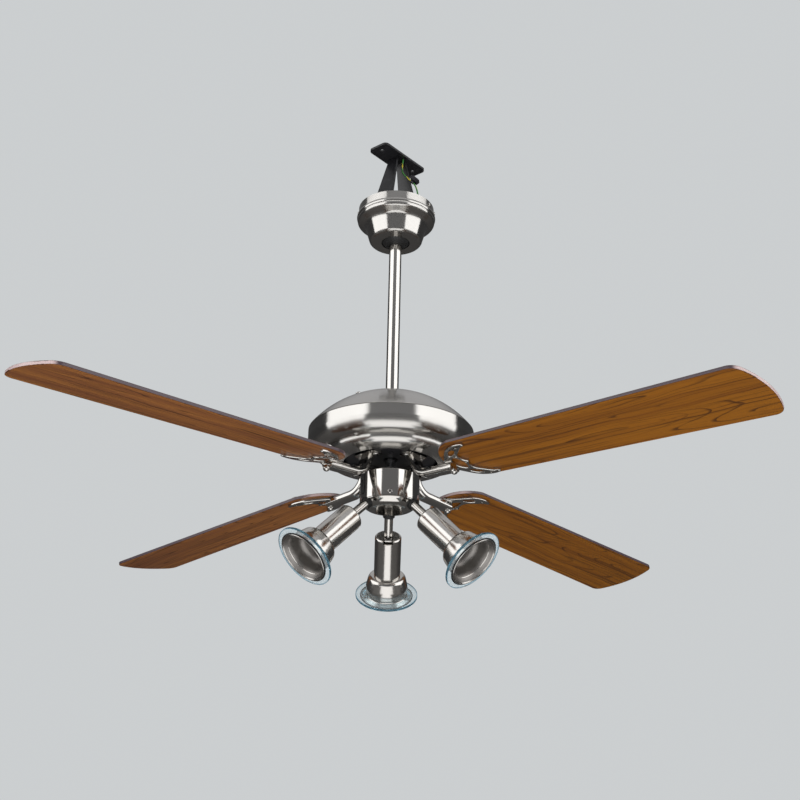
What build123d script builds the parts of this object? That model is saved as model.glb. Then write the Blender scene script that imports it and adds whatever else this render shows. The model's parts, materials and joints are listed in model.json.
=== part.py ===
from build123d import *
import os
from math import cos, radians, sin, sqrt, tan

os.makedirs("parts", exist_ok=True)

# A ceiling fan with three adjustable spotlights. Millimetres, +Z up. The origin is the middle of the
# ceiling plate's upper face, and everything hangs below it on the Z axis.

# Hanger bracket, bent and welded from steel strip
BRACKET_TURN = 49.0  # azimuth of the plate's long side, degrees
PLATE_LENGTH = 110.0
PLATE_WIDTH = 40.0
PLATE_THICK = 4.0
BOLT_CIRCLE_D = 84.0
BOLT_HOLE_D = 7.0
STRIP_THICK = 4.0
LEG_NECK = 12.0  # half spread of the legs under the plate
LEG_NECK_WIDTH = 18.0
LEG_WIDTH = 40.0
LEG_KNEE_DROP = 104.0  # where the spread legs turn straight down
LEG_CLEAR = 4.0  # between the ball and the legs
SEAT_THICK = 9.0
SEAT_GAP = 0.3  # between the ball and its seat
EAR_PLATE_THICK = 3.0
EAR_HEIGHT = 18.0
EAR_WIDTH = 36.0
EAR_CLEAR = 2.5  # between an ear and the canopy's wall
EAR_DROP = 23.0  # canopy rim to the top of the ear plate

# Canopy, spun from sheet
CANOPY_GAP = 104.6  # ceiling to rim
CANOPY_SHEET = 1.2
CANOPY_HOLE_R = 24.2
CANOPY_ROOM = 6.0  # seat ring to the edge of the canopy's floor
CANOPY_FLOOR_FILLET = 7.0
CANOPY_CONE_HEIGHT = 31.0
CANOPY_CONE_FLARE = 9.0
CANOPY_COVE_FILLET = 9.0  # cone into the shoulder
CANOPY_SHOULDER_WIDTH = 13.3
CANOPY_SHOULDER_RISE = 7.5
CANOPY_SHOULDER_FILLET = 5.0
CANOPY_WALL_HEIGHT = 5.3  # shoulder to the bead
CANOPY_BEAD_HEIGHT = 7.0
CANOPY_BEAD_PROUD = 1.4
CANOPY_LIP_INSET = 1.5
CANOPY_LIP_HEIGHT = 13.0
CANOPY_SCREW_OFFSETS = (-13.5, 13.5)  # about the middle of each ear, degrees
EAR_AZIMUTHS = (-16.5, 163.5)

# Hanger ball and downrod
BALL_R = 30.0
BALL_RAISE = 20.0  # ball centre above the canopy's floor
BALL_TOP = 18.0
BALL_BOTTOM = 26.0
ROD_R = 10.5
ROD_WALL = 2.0
ROD_STANDOUT = 26.0  # rod above the ball's centre
ROD_LENGTH = 356.0
ROD_FIT = 0.05
PIN_R = 3.0
PIN_FIT = 0.05
PIN_INSET = 4.0

# Motor coupling and shaft
YOKE_R = 16.0
ROD_SOCKET = 26.0
YOKE_WEB = 3.0
SHAFT_GRIP = 14.0
SHAFT_R = 8.5
SHAFT_BORE_R = 5.0
SET_SCREW_R = 2.5
SET_SCREW_DROP = 6.0  # below the coupling's rim
PIN_DROP = 16.0

# Motor housing, three spun shells
HOUSING_R = 133.0
HOUSING_SHEET = 1.2
DOME_BELOW_YOKE = 2.4
DOME_RISE = 64.6
DOME_HOLE_CLEAR = 1.0
SEAM_GAP = 1.2
SKIRT_DEPTH = 9.0
SKIRT_CLEAR = 0.4
BAND_HEIGHT = 17.0
TIER_HEIGHT = 20.5
TIER_WIDTH = 27.0
BAND_CREASE = 8.0  # degrees that the belly leans in under the band
DISH_INSET = 0.6
DISH_HEIGHT = 15.0
OPENING_R = 75.7
LEDGE_WIDTH = 8.0
HOUSING_SCREW_AZIMUTHS = (240, 0, 120)
SPIDER_AZIMUTHS = (226, 346, 106)
SPIDER_REACH = 78.0
SPIDER_ARM = 14.0
SPIDER_THICK = 3.0
SPIDER_HUB_R = 26.0
SPIDER_BOSS_R = 5.0
SPIDER_DROP = 30.0  # coupling rim to the spider's top
SMALL_SCREW_R = 2.0
SMALL_HEAD_R = 3.6
SMALL_HEAD_HEIGHT = 2.2
SCREW_FIT = 0.05

# Motor: fixed stator inside an outer rotor
ROTOR_BELOW_YOKE = 4.0
ROTOR_HEIGHT = 65.0
ROTOR_R = 92.0
ROTOR_WALL = 3.0
COVER_THICK = 3.0
FLYWHEEL_THICK = 8.0
FLYWHEEL_FLAT_R = 71.0
FLYWHEEL_RISE = 16.0
COVER_SPLIT = 22.0  # above the flywheel's underside
COVER_CHAMFER = 8.0
BEARING_R = 17.5
BEARING_WIDTH = 11.0
BEARING_FIT = 0.05
BEARING_BOSS_WALL = 6.5
BEARING_LIP = 2.0
SHAFT_CLEAR = 3.5
STACK_HEIGHT = 16.0
STACK_RAISE = 22.0  # above the flywheel's underside
STATOR_R = 70.4
AIR_GAP = 0.5
STATOR_TEETH = 16
SLOT_WIDTH = 9.0
SLOT_DEPTH = 20.0
WINDING_INNER_R = 36.0
WINDING_OUTER_R = 64.0
WINDING_HEIGHT = 6.0

# Blades and cast irons
BLADE_COUNT = 4
FIRST_BLADE = 45.0
SWEEP_R = 660.0
BLADE_REF_R = 100.0
BLADE_DROP = 34.0  # flywheel's underside to the blade's underside at the reference radius
BLADE_PITCH = 9.4
BLADE_DROOP = 2.95
BLADE_THICK = 5.5
BLADE_ROOT_R = 121.0
BLADE_ROOT_WIDTH = 110.0
BLADE_TIP_WIDTH = 130.0
BLADE_TIP_ARC_R = 145.0
BLADE_CORNER_R = 18.0
BLADE_EDGE = 1.2
IRON_PAD_R = 50.0
IRON_PAD_LENGTH = 24.0
IRON_PAD_WIDTH = 44.0
IRON_PAD_THICK = 6.0
IRON_PAD_CORNER = 6.0
ARM_WIDTH = 22.0
ARM_THICK = 13.0
ARM_START_R = 47.0
ARM_BEND_R = 67.0
ARM_DIP = 6.0  # bend below the blade plane
ARM_END_DIP = 10.5
ARM_BEND_RADIUS = 30.0
ARM_OVERLAP = 16.0  # past the blade's root
SCROLL_THICK = 5.0
SCROLL_LENGTH = 70.0
SCROLL_HALF = 49.0
SCROLL_EDGE = 1.7
SCROLL_WINDOW_LENGTH = 22.0
SCROLL_WINDOW_WIDTH = 8.6
SCROLL_WINDOW_TURN = 35.5  # from the blade's middle line, degrees
BEAD_R = 5.5
IRON_SCREW_HALF = 16.4
IRON_SCREW_R = 2.4
IRON_HEAD_R = 4.6
IRON_HEAD_HEIGHT = 3.2
IRON_SCREW_BITE = 7.0
BLADE_SCREW_R = 2.3
BLADE_SCREW_CLEAR = 0.5
BLADE_HEAD_R = 5.0
BLADE_HEAD_HEIGHT = 2.6
WASHER_R = 7.0
WASHER_THICK = 1.2
BLADE_SCREW_MIDDLE = 39.5  # from the blade's root
BLADE_SCREW_ALONG = 54.0
BLADE_SCREW_ACROSS = 42.5

# Switch housing and light pan
SWITCH_DROP = 29.0  # flywheel's underside to the switch housing's top
SWITCH_R = 47.0
SWITCH_SHEET = 1.2
SWITCH_HEIGHT = 44.6
SWITCH_FLANGE = 9.0
SWITCH_PLATE_THICK = 3.0
SWITCH_PLATE_CLEAR = 1.0
SWITCH_COLLAR_R = 14.0
SWITCH_COLLAR_RISE = 7.0
SWITCH_COLLAR_DROP = 6.0
PAN_SHEET = 1.5
PAN_LAP = 11.0
PAN_DROP = 1.4  # switch housing to the bowl
PAN_CURVE_R = 20.0
PAN_SCREW_RAISE = 5.5
PAN_SCREW_AZIMUTHS = (270, 30, 150)
CAPACITOR_SIZE = (40.0, 20.0, 26.0)
CAPACITOR_OFFSET = 26.0
CAPACITOR_CORNER = 3.0
DIRECTION_AZIMUTH = 205.0
DIRECTION_DROP = 18.0  # below the switch housing's top
DIRECTION_BODY = (10.0, 20.0, 13.0)
DIRECTION_BEZEL = (12.0, 36.0, 1.2)
DIRECTION_SLOT = (4.4, 10.0, 6.0)
SLIDER_SIZE = (3.6, 5.0)
SLIDER_PROUD = 2.6
SLIDER_TRAVEL = 4.0
WINDOW_CLEAR = 0.2

# Spotlights
SPOT_AZIMUTHS = (90, 210, 330)
SPOT_TILT = 45.0  # stem from straight down
SPOT_EXIT_R = 40.5
STEM_R = 7.0
STEM_BORE_R = 4.5
STEM_REACH = 38.0  # pan to the can's top
STEM_FIT = 0.08
STEM_NUT_R = 9.5
STEM_NUT_HEIGHT = 3.0
STEM_NUT_DEPTH = 8.0
GASKET_R = 9.6
GASKET_PROUD = 3.6
GASKET_CLEAR = 0.3
GASKET_SINK = 3.0
CAN_R = 21.5
CAN_WALL = 1.2
CAN_LENGTH = 72.0
CAN_FILLET = 4.0
CAN_SLOT_CLEAR = 0.6
CAN_LAP = 4.0
TILT_DEPTH = 9.0  # pivot below the can's top
TILT_PIN_R = 2.0
TILT_PIN_FIT = 0.06
CUP_SHEET = 1.2
CUP_LENGTH = 39.0
CUP_R = 31.3
CUP_MOUTH_R = 30.8
CUP_BULGE = 18.0
CUP_FIT = 0.1
LIP_R = 38.5
CUP_SHOULDER_FILLET = 5.0
CUP_BULGE_FILLET = 25.0
LIP_FILLET = 1.6
GLASS_R = 50.8
GLASS_THICK = 4.0
GLASS_HOLE_CLEAR = 2.2
GLASS_EDGE = 0.8
REFLECTOR_SHEET = 0.8
REFLECTOR_GAP = 0.3
REFLECTOR_SETBACK = 2.0
REFLECTOR_DEPTH = 30.0
HOLDER_R = 12.0
HOLDER_FIT = 0.2
HOLDER_LENGTH = 30.0
HOLDER_FLANGE = 2.0
HOLDER_SOCKET_R = 8.0
HOLDER_SOCKET_DEPTH = 18.0

# Earth wire from the ceiling plate to the ear plate
WIRE_D = 2.6
WIRE_ROUTE = [
    (10, -6, -PLATE_THICK),
    (10, -6, -20),
    (21, -12, -36),
    (31, -15, -55),
    (37, -14, -76),
    (41, -12, -102),
    (41, -12, -(CANOPY_GAP + EAR_DROP)),
]
WIRE_RUN_SHARE = 0.45

# Heights that follow from the sizes above
Z_RIM = -CANOPY_GAP
SEAT_R = BALL_R + LEG_CLEAR + STRIP_THICK
CANOPY_FLOOR_R = SEAT_R + CANOPY_ROOM
CANOPY_BEAD_R = CANOPY_FLOOR_R + CANOPY_CONE_FLARE + CANOPY_SHOULDER_WIDTH
CANOPY_LIP_R = CANOPY_BEAD_R - CANOPY_LIP_INSET
Z_LIP = Z_RIM - CANOPY_LIP_HEIGHT
Z_BEAD = Z_LIP - CANOPY_LIP_INSET - CANOPY_BEAD_HEIGHT
Z_SHOULDER = Z_BEAD - CANOPY_WALL_HEIGHT
Z_CANOPY = Z_SHOULDER - CANOPY_SHOULDER_RISE - CANOPY_CONE_HEIGHT
Z_BALL = Z_CANOPY + BALL_RAISE
Z_SEAT = Z_CANOPY + CANOPY_SHEET + 1.8
Z_EAR_PLATE = Z_RIM - EAR_DROP
EAR_R = CANOPY_LIP_R - CANOPY_SHEET - EAR_CLEAR
Z_ROD_TOP = Z_BALL + ROD_STANDOUT
Z_ROD_END = Z_ROD_TOP - ROD_LENGTH
Z_YOKE = Z_ROD_END + ROD_SOCKET
Z_SHAFT_TOP = Z_ROD_END - YOKE_WEB
Z_YOKE_END = Z_SHAFT_TOP - SHAFT_GRIP
Z_DOME = Z_YOKE - DOME_BELOW_YOKE
Z_SEAM = Z_DOME - DOME_RISE
DOME_R = (HOUSING_R**2 + DOME_RISE**2) / (2 * DOME_RISE)
Z_DOME_CENTRE = Z_DOME - DOME_R
Z_BAND = Z_SEAM - SEAM_GAP
Z_TIER = Z_BAND - BAND_HEIGHT
Z_STEP = Z_TIER - TIER_HEIGHT
STEP_R = HOUSING_R - TIER_WIDTH
Z_OPENING = Z_STEP - DISH_HEIGHT
Z_ROTOR_TOP = Z_YOKE_END - ROTOR_BELOW_YOKE
Z_FLYWHEEL = Z_ROTOR_TOP - ROTOR_HEIGHT
Z_SPLIT = Z_FLYWHEEL + COVER_SPLIT
Z_STACK = Z_FLYWHEEL + STACK_RAISE
Z_BLADE = Z_FLYWHEEL - BLADE_DROP
Z_SWITCH = Z_FLYWHEEL - SWITCH_DROP
Z_SWITCH_END = Z_SWITCH - SWITCH_HEIGHT
Z_PLATE = Z_SWITCH - SWITCH_SHEET
PAN_RIM_R = SWITCH_R - SWITCH_SHEET
T_CAN = STEM_REACH
T_PIVOT = T_CAN + TILT_DEPTH
T_CUP = T_CAN + CAN_LENGTH
T_LIP = T_CUP + CUP_LENGTH


def radial(azimuth):
    """Unit vector away from the fan's axis."""
    return Vector(cos(radians(azimuth)), sin(radians(azimuth)), 0)


def tangent(azimuth):
    """Unit vector round the fan's axis, anticlockwise from above."""
    return Vector(-sin(radians(azimuth)), cos(radians(azimuth)), 0)


def section_plane(azimuth):
    """Plane through the fan's axis whose x is the radius and y the height."""
    return Plane(origin=(0, 0, 0), x_dir=radial(azimuth), z_dir=-tangent(azimuth))


def outward_plane(azimuth, distance, height):
    """Plane that faces away from the fan's axis, with its y upwards."""
    return Plane(origin=radial(azimuth) * distance + Vector(0, 0, height), x_dir=tangent(azimuth), z_dir=radial(azimuth))


def write(builder, name):
    """Names a finished piece and writes its file."""
    builder.part.label = name
    export_step(builder.part, f"parts/{name}.step")


def add_screw(seat, head_r, head_height, shank_r, shank_length):
    """A pan-head screw whose head stands on a plane and whose shank runs the other way."""
    with BuildSketch(seat) as head:
        Circle(head_r)
    extrude(head.sketch, amount=head_height, taper=12)
    with BuildSketch(seat) as shank:
        Circle(shank_r)
    extrude(shank.sketch, amount=-shank_length)


def cut_round(plane, radius, depth, both=False):
    """A round hole from a plane."""
    with BuildSketch(plane) as hole:
        Circle(radius)
    extrude(hole.sketch, amount=depth, both=both, mode=Mode.SUBTRACT)


# Hanger bracket
bracket_side = section_plane(BRACKET_TURN)
bracket_front = Plane(origin=(0, 0, 0), x_dir=tangent(BRACKET_TURN), z_dir=radial(BRACKET_TURN))
canopy_screw_azimuths = [ear + turn for ear in EAR_AZIMUTHS for turn in CANOPY_SCREW_OFFSETS]
Z_CANOPY_SCREW = Z_RIM - CANOPY_LIP_HEIGHT / 2

with BuildPart() as hanger_bracket:
    with BuildSketch(bracket_side):
        for side in (1, -1):
            with BuildLine():
                Polyline(
                    (side * LEG_NECK, -PLATE_THICK / 2),
                    (side * SEAT_R, -LEG_KNEE_DROP),
                    (side * SEAT_R, Z_SEAT + SEAT_THICK / 2),
                )
                offset(amount=STRIP_THICK, side=Side.RIGHT if side > 0 else Side.LEFT)
            make_face()
    extrude(amount=LEG_WIDTH / 2, both=True)
    with BuildSketch(bracket_front):
        with BuildLine():
            Polyline(
                (-LEG_NECK_WIDTH / 2, 0),
                (LEG_NECK_WIDTH / 2, 0),
                (LEG_WIDTH / 2, -LEG_KNEE_DROP),
                (LEG_WIDTH / 2, Z_SEAT),
                (-LEG_WIDTH / 2, Z_SEAT),
                (-LEG_WIDTH / 2, -LEG_KNEE_DROP),
                close=True,
            )
        make_face()
    extrude(amount=PLATE_LENGTH, both=True, mode=Mode.INTERSECT)
    with BuildSketch(Plane.XY.rotated((0, 0, BRACKET_TURN))):
        RectangleRounded(PLATE_LENGTH, PLATE_WIDTH, PLATE_WIDTH / 5)
        with PolarLocations(BOLT_CIRCLE_D / 2, 2):
            Circle(BOLT_HOLE_D / 2, mode=Mode.SUBTRACT)
    extrude(amount=-PLATE_THICK)
    with BuildSketch(Plane.XY.offset(Z_SEAT)):
        Circle(SEAT_R)
    extrude(amount=SEAT_THICK)
    with BuildSketch(Plane.XY.offset(Z_EAR_PLATE)):
        Circle(EAR_R)
        Circle(SEAT_R - STRIP_THICK, mode=Mode.SUBTRACT)
    extrude(amount=-EAR_PLATE_THICK)
    with BuildSketch(Plane.XY.offset(Z_EAR_PLATE - EAR_PLATE_THICK)):
        for azimuth in EAR_AZIMUTHS:
            with Locations(Location(radial(azimuth) * (sqrt(EAR_R**2 - (EAR_WIDTH / 2) ** 2)), (0, 0, azimuth))):
                Rectangle(EAR_PLATE_THICK, EAR_WIDTH, align=(Align.MAX, Align.CENTER))
    extrude(amount=EAR_HEIGHT)
    for azimuth in canopy_screw_azimuths:
        cut_round(outward_plane(azimuth, EAR_R + 1, Z_CANOPY_SCREW), SMALL_SCREW_R + SCREW_FIT, -EAR_PLATE_THICK * 4)
    with Locations((0, 0, Z_BALL)):
        Sphere(BALL_R + SEAT_GAP, mode=Mode.SUBTRACT)
write(hanger_bracket, "hanger_bracket")

# Canopy
with BuildPart() as canopy:
    with BuildSketch(Plane.XZ):
        with BuildLine():
            FilletPolyline(
                (CANOPY_HOLE_R, Z_CANOPY),
                (CANOPY_FLOOR_R, Z_CANOPY),
                (CANOPY_FLOOR_R + CANOPY_CONE_FLARE, Z_SHOULDER - CANOPY_SHOULDER_RISE),
                (CANOPY_BEAD_R, Z_SHOULDER),
                (CANOPY_BEAD_R, Z_BEAD),
                radius=[CANOPY_FLOOR_FILLET, CANOPY_COVE_FILLET, CANOPY_SHOULDER_FILLET],
            )
            ThreePointArc(
                (CANOPY_BEAD_R, Z_BEAD),
                (CANOPY_BEAD_R + CANOPY_BEAD_PROUD, Z_BEAD + CANOPY_BEAD_HEIGHT / 2),
                (CANOPY_BEAD_R, Z_BEAD + CANOPY_BEAD_HEIGHT),
            )
            Polyline(
                (CANOPY_BEAD_R, Z_BEAD + CANOPY_BEAD_HEIGHT),
                (CANOPY_LIP_R, Z_LIP),
                (CANOPY_LIP_R, Z_RIM),
            )
            offset(amount=CANOPY_SHEET, side=Side.LEFT)
        make_face()
    revolve(axis=Axis.Z)
    for azimuth in canopy_screw_azimuths:
        cut_round(outward_plane(azimuth, CANOPY_BEAD_R, Z_CANOPY_SCREW), SMALL_SCREW_R + SCREW_FIT, -EAR_CLEAR * 2)
write(canopy, "canopy")

with BuildPart() as canopy_screws:
    for azimuth in canopy_screw_azimuths:
        seat = outward_plane(azimuth, CANOPY_LIP_R, Z_CANOPY_SCREW)
        add_screw(seat, SMALL_HEAD_R, SMALL_HEAD_HEIGHT, SMALL_SCREW_R, EAR_CLEAR + EAR_PLATE_THICK * 2)
write(canopy_screws, "canopy_screws")


def bend_radii(route):
    """The largest arc that the two runs at each corner leave room for."""
    radii = []
    for before, corner, after in zip(route, route[1:], route[2:]):
        run_in = Vector(corner) - Vector(before)
        run_out = Vector(after) - Vector(corner)
        turn = run_in.get_angle(run_out)
        radii.append(WIRE_RUN_SHARE * min(run_in.length, run_out.length) / tan(radians(turn / 2)))
    return radii


# Earth wire
with BuildPart() as earth_wire:
    with BuildLine() as wire_path:
        FilletPolyline(*WIRE_ROUTE, radius=bend_radii(WIRE_ROUTE))
    with BuildSketch(Plane(origin=wire_path.line @ 0, z_dir=wire_path.line % 0)):
        Circle(WIRE_D / 2)
    sweep(path=wire_path.line)
print("earth wire radii", [round(r, 1) for r in bend_radii(WIRE_ROUTE)], "length", round(wire_path.wires()[0].length, 1))
write(earth_wire, "earth_wire")

# Hanger ball and downrod
with BuildPart() as hanger_ball:
    with Locations((0, 0, Z_BALL)):
        Sphere(BALL_R)
    split(bisect_by=Plane.XY.offset(Z_BALL + BALL_TOP), keep=Keep.BOTTOM)
    split(bisect_by=Plane.XY.offset(Z_BALL - BALL_BOTTOM), keep=Keep.TOP)
    cut_round(Plane.XY.offset(Z_BALL), ROD_R + ROD_FIT, BALL_R * 2, both=True)
    cut_round(outward_plane(270, 0, Z_BALL), PIN_R + PIN_FIT, BALL_R * 2, both=True)
write(hanger_ball, "hanger_ball")

Z_ROD_PIN = Z_YOKE - PIN_DROP
Z_SET_SCREW = Z_YOKE - SET_SCREW_DROP
ball_pin_half = sqrt(BALL_R**2 - PIN_R**2) - PIN_INSET

with BuildPart() as downrod:
    with BuildSketch(Plane.XY.offset(Z_ROD_END)):
        Circle(ROD_R)
        Circle(ROD_R - ROD_WALL, mode=Mode.SUBTRACT)
    extrude(amount=ROD_LENGTH)
    for height in (Z_BALL, Z_ROD_PIN):
        cut_round(outward_plane(270, 0, height), PIN_R + PIN_FIT, ROD_R * 2, both=True)
write(downrod, "downrod")

with BuildPart() as rod_pins:
    for height, half in ((Z_BALL, ball_pin_half), (Z_ROD_PIN, YOKE_R)):
        with BuildSketch(outward_plane(270, 0, height)):
            Circle(PIN_R)
        extrude(amount=half, both=True)
    for azimuth in (0, 180):
        with BuildSketch(outward_plane(azimuth, YOKE_R, Z_SET_SCREW)):
            Circle(SET_SCREW_R)
        extrude(amount=-(YOKE_R - ROD_R))
write(rod_pins, "rod_pins")

# Motor coupling and shaft
with BuildPart() as motor_yoke:
    with BuildSketch(Plane.XY.offset(Z_YOKE)):
        Circle(YOKE_R)
    extrude(amount=Z_YOKE_END - Z_YOKE)
    cut_round(Plane.XY.offset(Z_YOKE), ROD_R + ROD_FIT, -ROD_SOCKET)
    cut_round(Plane.XY.offset(Z_YOKE_END), SHAFT_R, SHAFT_GRIP)
    cut_round(Plane.XY.offset(Z_YOKE), SHAFT_BORE_R, Z_YOKE_END - Z_YOKE)
    cut_round(outward_plane(270, 0, Z_ROD_PIN), PIN_R + PIN_FIT, YOKE_R * 2, both=True)
    cut_round(outward_plane(0, 0, Z_SET_SCREW), SET_SCREW_R + SCREW_FIT, YOKE_R * 2, both=True)
write(motor_yoke, "motor_yoke")

Z_SHAFT_END = Z_PLATE - SWITCH_PLATE_THICK - SWITCH_COLLAR_DROP
with BuildPart() as motor_shaft:
    with BuildSketch(Plane.XY.offset(Z_SHAFT_TOP)):
        Circle(SHAFT_R)
        Circle(SHAFT_BORE_R, mode=Mode.SUBTRACT)
    extrude(amount=Z_SHAFT_END - Z_SHAFT_TOP)
write(motor_shaft, "motor_shaft")

# Spider that carries the domed housing
dome_hole_r = YOKE_R + DOME_HOLE_CLEAR
dome_inner_r = DOME_R - HOUSING_SHEET
Z_SPIDER = Z_YOKE - SPIDER_DROP


def dome_height(radius, sphere_r):
    """Height of a dome of that sphere radius about the housing's own centre."""
    return Z_DOME_CENTRE + sqrt(sphere_r**2 - radius**2)


def dome_screw_plane(azimuth):
    """Plane on the dome over a spider arm, square to the dome."""
    spot = radial(azimuth) * SPIDER_REACH + Vector(0, 0, dome_height(SPIDER_REACH, DOME_R))
    return Plane(origin=spot, x_dir=tangent(azimuth), z_dir=spot - Vector(0, 0, Z_DOME_CENTRE))


spider_screw_length = HOUSING_SHEET + 6.0

with BuildPart() as housing_spider:
    with BuildSketch(Plane.XY.offset(Z_SPIDER)):
        Circle(SPIDER_HUB_R)
        for azimuth in SPIDER_AZIMUTHS:
            with Locations(Location((0, 0, 0), (0, 0, azimuth))):
                SlotCenterPoint((SPIDER_REACH / 2, 0), (SPIDER_REACH, 0), SPIDER_ARM)
        Circle(YOKE_R, mode=Mode.SUBTRACT)
    extrude(amount=-SPIDER_THICK)
    with BuildSketch(Plane.XY.offset(Z_SPIDER)):
        for azimuth in SPIDER_AZIMUTHS:
            with Locations(radial(azimuth) * SPIDER_REACH):
                Circle(SPIDER_BOSS_R)
    extrude(amount=DOME_RISE)
    with Locations((0, 0, Z_DOME_CENTRE)):
        Sphere(dome_inner_r, mode=Mode.INTERSECT)
    for azimuth in SPIDER_AZIMUTHS:
        cut_round(dome_screw_plane(azimuth), SMALL_SCREW_R + SCREW_FIT, -DOME_RISE)
write(housing_spider, "housing_spider")

# Motor housing
with BuildPart() as upper_housing:
    with BuildSketch(Plane.XZ):
        with BuildLine():
            mid_r = (dome_hole_r + HOUSING_R) / 2
            ThreePointArc(
                (dome_hole_r, dome_height(dome_hole_r, DOME_R)),
                (mid_r, dome_height(mid_r, DOME_R)),
                (HOUSING_R, Z_SEAM),
            )
            offset(amount=HOUSING_SHEET, side=Side.RIGHT)
        make_face()
        skirt_r = HOUSING_R - HOUSING_SHEET - SKIRT_CLEAR
        with BuildLine():
            Polyline(
                (skirt_r, dome_height(skirt_r, DOME_R - HOUSING_SHEET / 2)),
                (skirt_r, Z_SEAM - SKIRT_DEPTH),
                (skirt_r - HOUSING_SHEET, Z_SEAM - SKIRT_DEPTH),
                (skirt_r - HOUSING_SHEET, dome_height(skirt_r - HOUSING_SHEET, DOME_R - HOUSING_SHEET / 2)),
                close=True,
            )
        make_face()
    revolve(axis=Axis.Z)
    for azimuth in SPIDER_AZIMUTHS:
        cut_round(dome_screw_plane(azimuth), SMALL_SCREW_R + SCREW_FIT, spider_screw_length, both=True)
write(upper_housing, "upper_housing")

dish_r = STEP_R - DISH_INSET
ledge_r = STEP_R + LEDGE_WIDTH
ledge_screw_r = STEP_R + LEDGE_WIDTH * 0.46
with BuildPart() as lower_housing:
    with BuildSketch(Plane.XZ):
        with BuildLine():
            Line((HOUSING_R, Z_BAND), (HOUSING_R, Z_TIER))
            crease = (-tan(radians(BAND_CREASE)), -1)
            Spline((HOUSING_R, Z_TIER), (ledge_r, Z_STEP), tangents=(crease, (-1, 0)))
            Polyline(
                (ledge_r, Z_STEP),
                (STEP_R, Z_STEP),
                (STEP_R, Z_STEP + HOUSING_SHEET),
                (ledge_r, Z_STEP + HOUSING_SHEET),
            )
            inner_r = HOUSING_R - HOUSING_SHEET
            belly_end = (-crease[0], -crease[1])
            Spline((ledge_r, Z_STEP + HOUSING_SHEET), (inner_r, Z_TIER), tangents=((1, 0), belly_end))
            Polyline((inner_r, Z_TIER), (inner_r, Z_BAND), (HOUSING_R, Z_BAND))
        make_face()
    revolve(axis=Axis.Z)
    for azimuth in HOUSING_SCREW_AZIMUTHS:
        seat = Plane(origin=radial(azimuth) * ledge_screw_r + Vector(0, 0, Z_STEP))
        cut_round(seat, SMALL_SCREW_R + SCREW_FIT, HOUSING_SHEET * 4, both=True)
write(lower_housing, "lower_housing")

with BuildPart() as housing_dish:
    with BuildSketch(Plane.XZ):
        with BuildLine():
            Spline((dish_r, Z_STEP), (OPENING_R, Z_OPENING), tangents=((0, -1), (-1, 0)))
            Line((OPENING_R, Z_OPENING), (OPENING_R, Z_OPENING + HOUSING_SHEET))
            inner_start = (dish_r - HOUSING_SHEET, Z_STEP)
            Spline((OPENING_R, Z_OPENING + HOUSING_SHEET), inner_start, tangents=((1, 0), (0, 1)))
            Polyline(
                inner_start,
                (dish_r - HOUSING_SHEET, Z_STEP + HOUSING_SHEET * 2),
                (ledge_r - DISH_INSET, Z_STEP + HOUSING_SHEET * 2),
                (ledge_r - DISH_INSET, Z_STEP + HOUSING_SHEET),
                (dish_r, Z_STEP + HOUSING_SHEET),
                (dish_r, Z_STEP),
            )
        make_face()
    revolve(axis=Axis.Z)
    for azimuth in HOUSING_SCREW_AZIMUTHS:
        seat = Plane(origin=radial(azimuth) * ledge_screw_r + Vector(0, 0, Z_STEP))
        cut_round(seat, SMALL_SCREW_R + SCREW_FIT, HOUSING_SHEET * 4, both=True)
write(housing_dish, "housing_dish")

with BuildPart() as housing_screws:
    for azimuth in SPIDER_AZIMUTHS:
        add_screw(dome_screw_plane(azimuth), SMALL_HEAD_R, SMALL_HEAD_HEIGHT, SMALL_SCREW_R, spider_screw_length)
    for azimuth in HOUSING_SCREW_AZIMUTHS:
        seat = Plane(origin=radial(azimuth) * ledge_screw_r + Vector(0, 0, Z_STEP), z_dir=(0, 0, -1))
        add_screw(seat, SMALL_HEAD_R, SMALL_HEAD_HEIGHT, SMALL_SCREW_R, HOUSING_SHEET * 3)
write(housing_screws, "housing_screws")

# Motor
boss_r = BEARING_R + BEARING_BOSS_WALL
shaft_hole_r = SHAFT_R + SHAFT_CLEAR
core_outer_r = ROTOR_R - ROTOR_WALL
Z_LOWER_BEARING = Z_FLYWHEEL + BEARING_LIP + 1.0
Z_UPPER_BEARING = Z_ROTOR_TOP - BEARING_LIP
Z_COVER_INNER = Z_ROTOR_TOP - COVER_THICK

with BuildPart() as rotor_upper_cover:
    with BuildSketch(Plane.XZ):
        with BuildLine():
            Polyline(
                (shaft_hole_r, Z_ROTOR_TOP),
                (ROTOR_R - COVER_CHAMFER, Z_ROTOR_TOP),
                (ROTOR_R, Z_ROTOR_TOP - COVER_CHAMFER),
                (ROTOR_R, Z_SPLIT),
                (core_outer_r, Z_SPLIT),
                (core_outer_r, Z_COVER_INNER - COVER_CHAMFER + ROTOR_WALL / 2),
                (core_outer_r - COVER_CHAMFER + ROTOR_WALL / 2, Z_COVER_INNER),
                (boss_r, Z_COVER_INNER),
                (boss_r, Z_UPPER_BEARING - BEARING_WIDTH),
                (BEARING_R, Z_UPPER_BEARING - BEARING_WIDTH),
                (BEARING_R, Z_UPPER_BEARING),
                (shaft_hole_r, Z_UPPER_BEARING),
                close=True,
            )
        make_face()
    revolve(axis=Axis.Z)
write(rotor_upper_cover, "rotor_upper_cover")

iron_azimuths = [FIRST_BLADE + 360 / BLADE_COUNT * i for i in range(BLADE_COUNT)]


def iron_screw_seats(azimuth):
    """Planes under an iron's pad, facing down, one for each of its screws."""
    seats = []
    for side in (1, -1):
        spot = radial(azimuth) * IRON_PAD_R + tangent(azimuth) * (side * IRON_SCREW_HALF)
        spot += Vector(0, 0, Z_FLYWHEEL - IRON_PAD_THICK)
        seats.append(Plane(origin=spot, x_dir=radial(azimuth), z_dir=(0, 0, -1)))
    return seats


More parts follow.
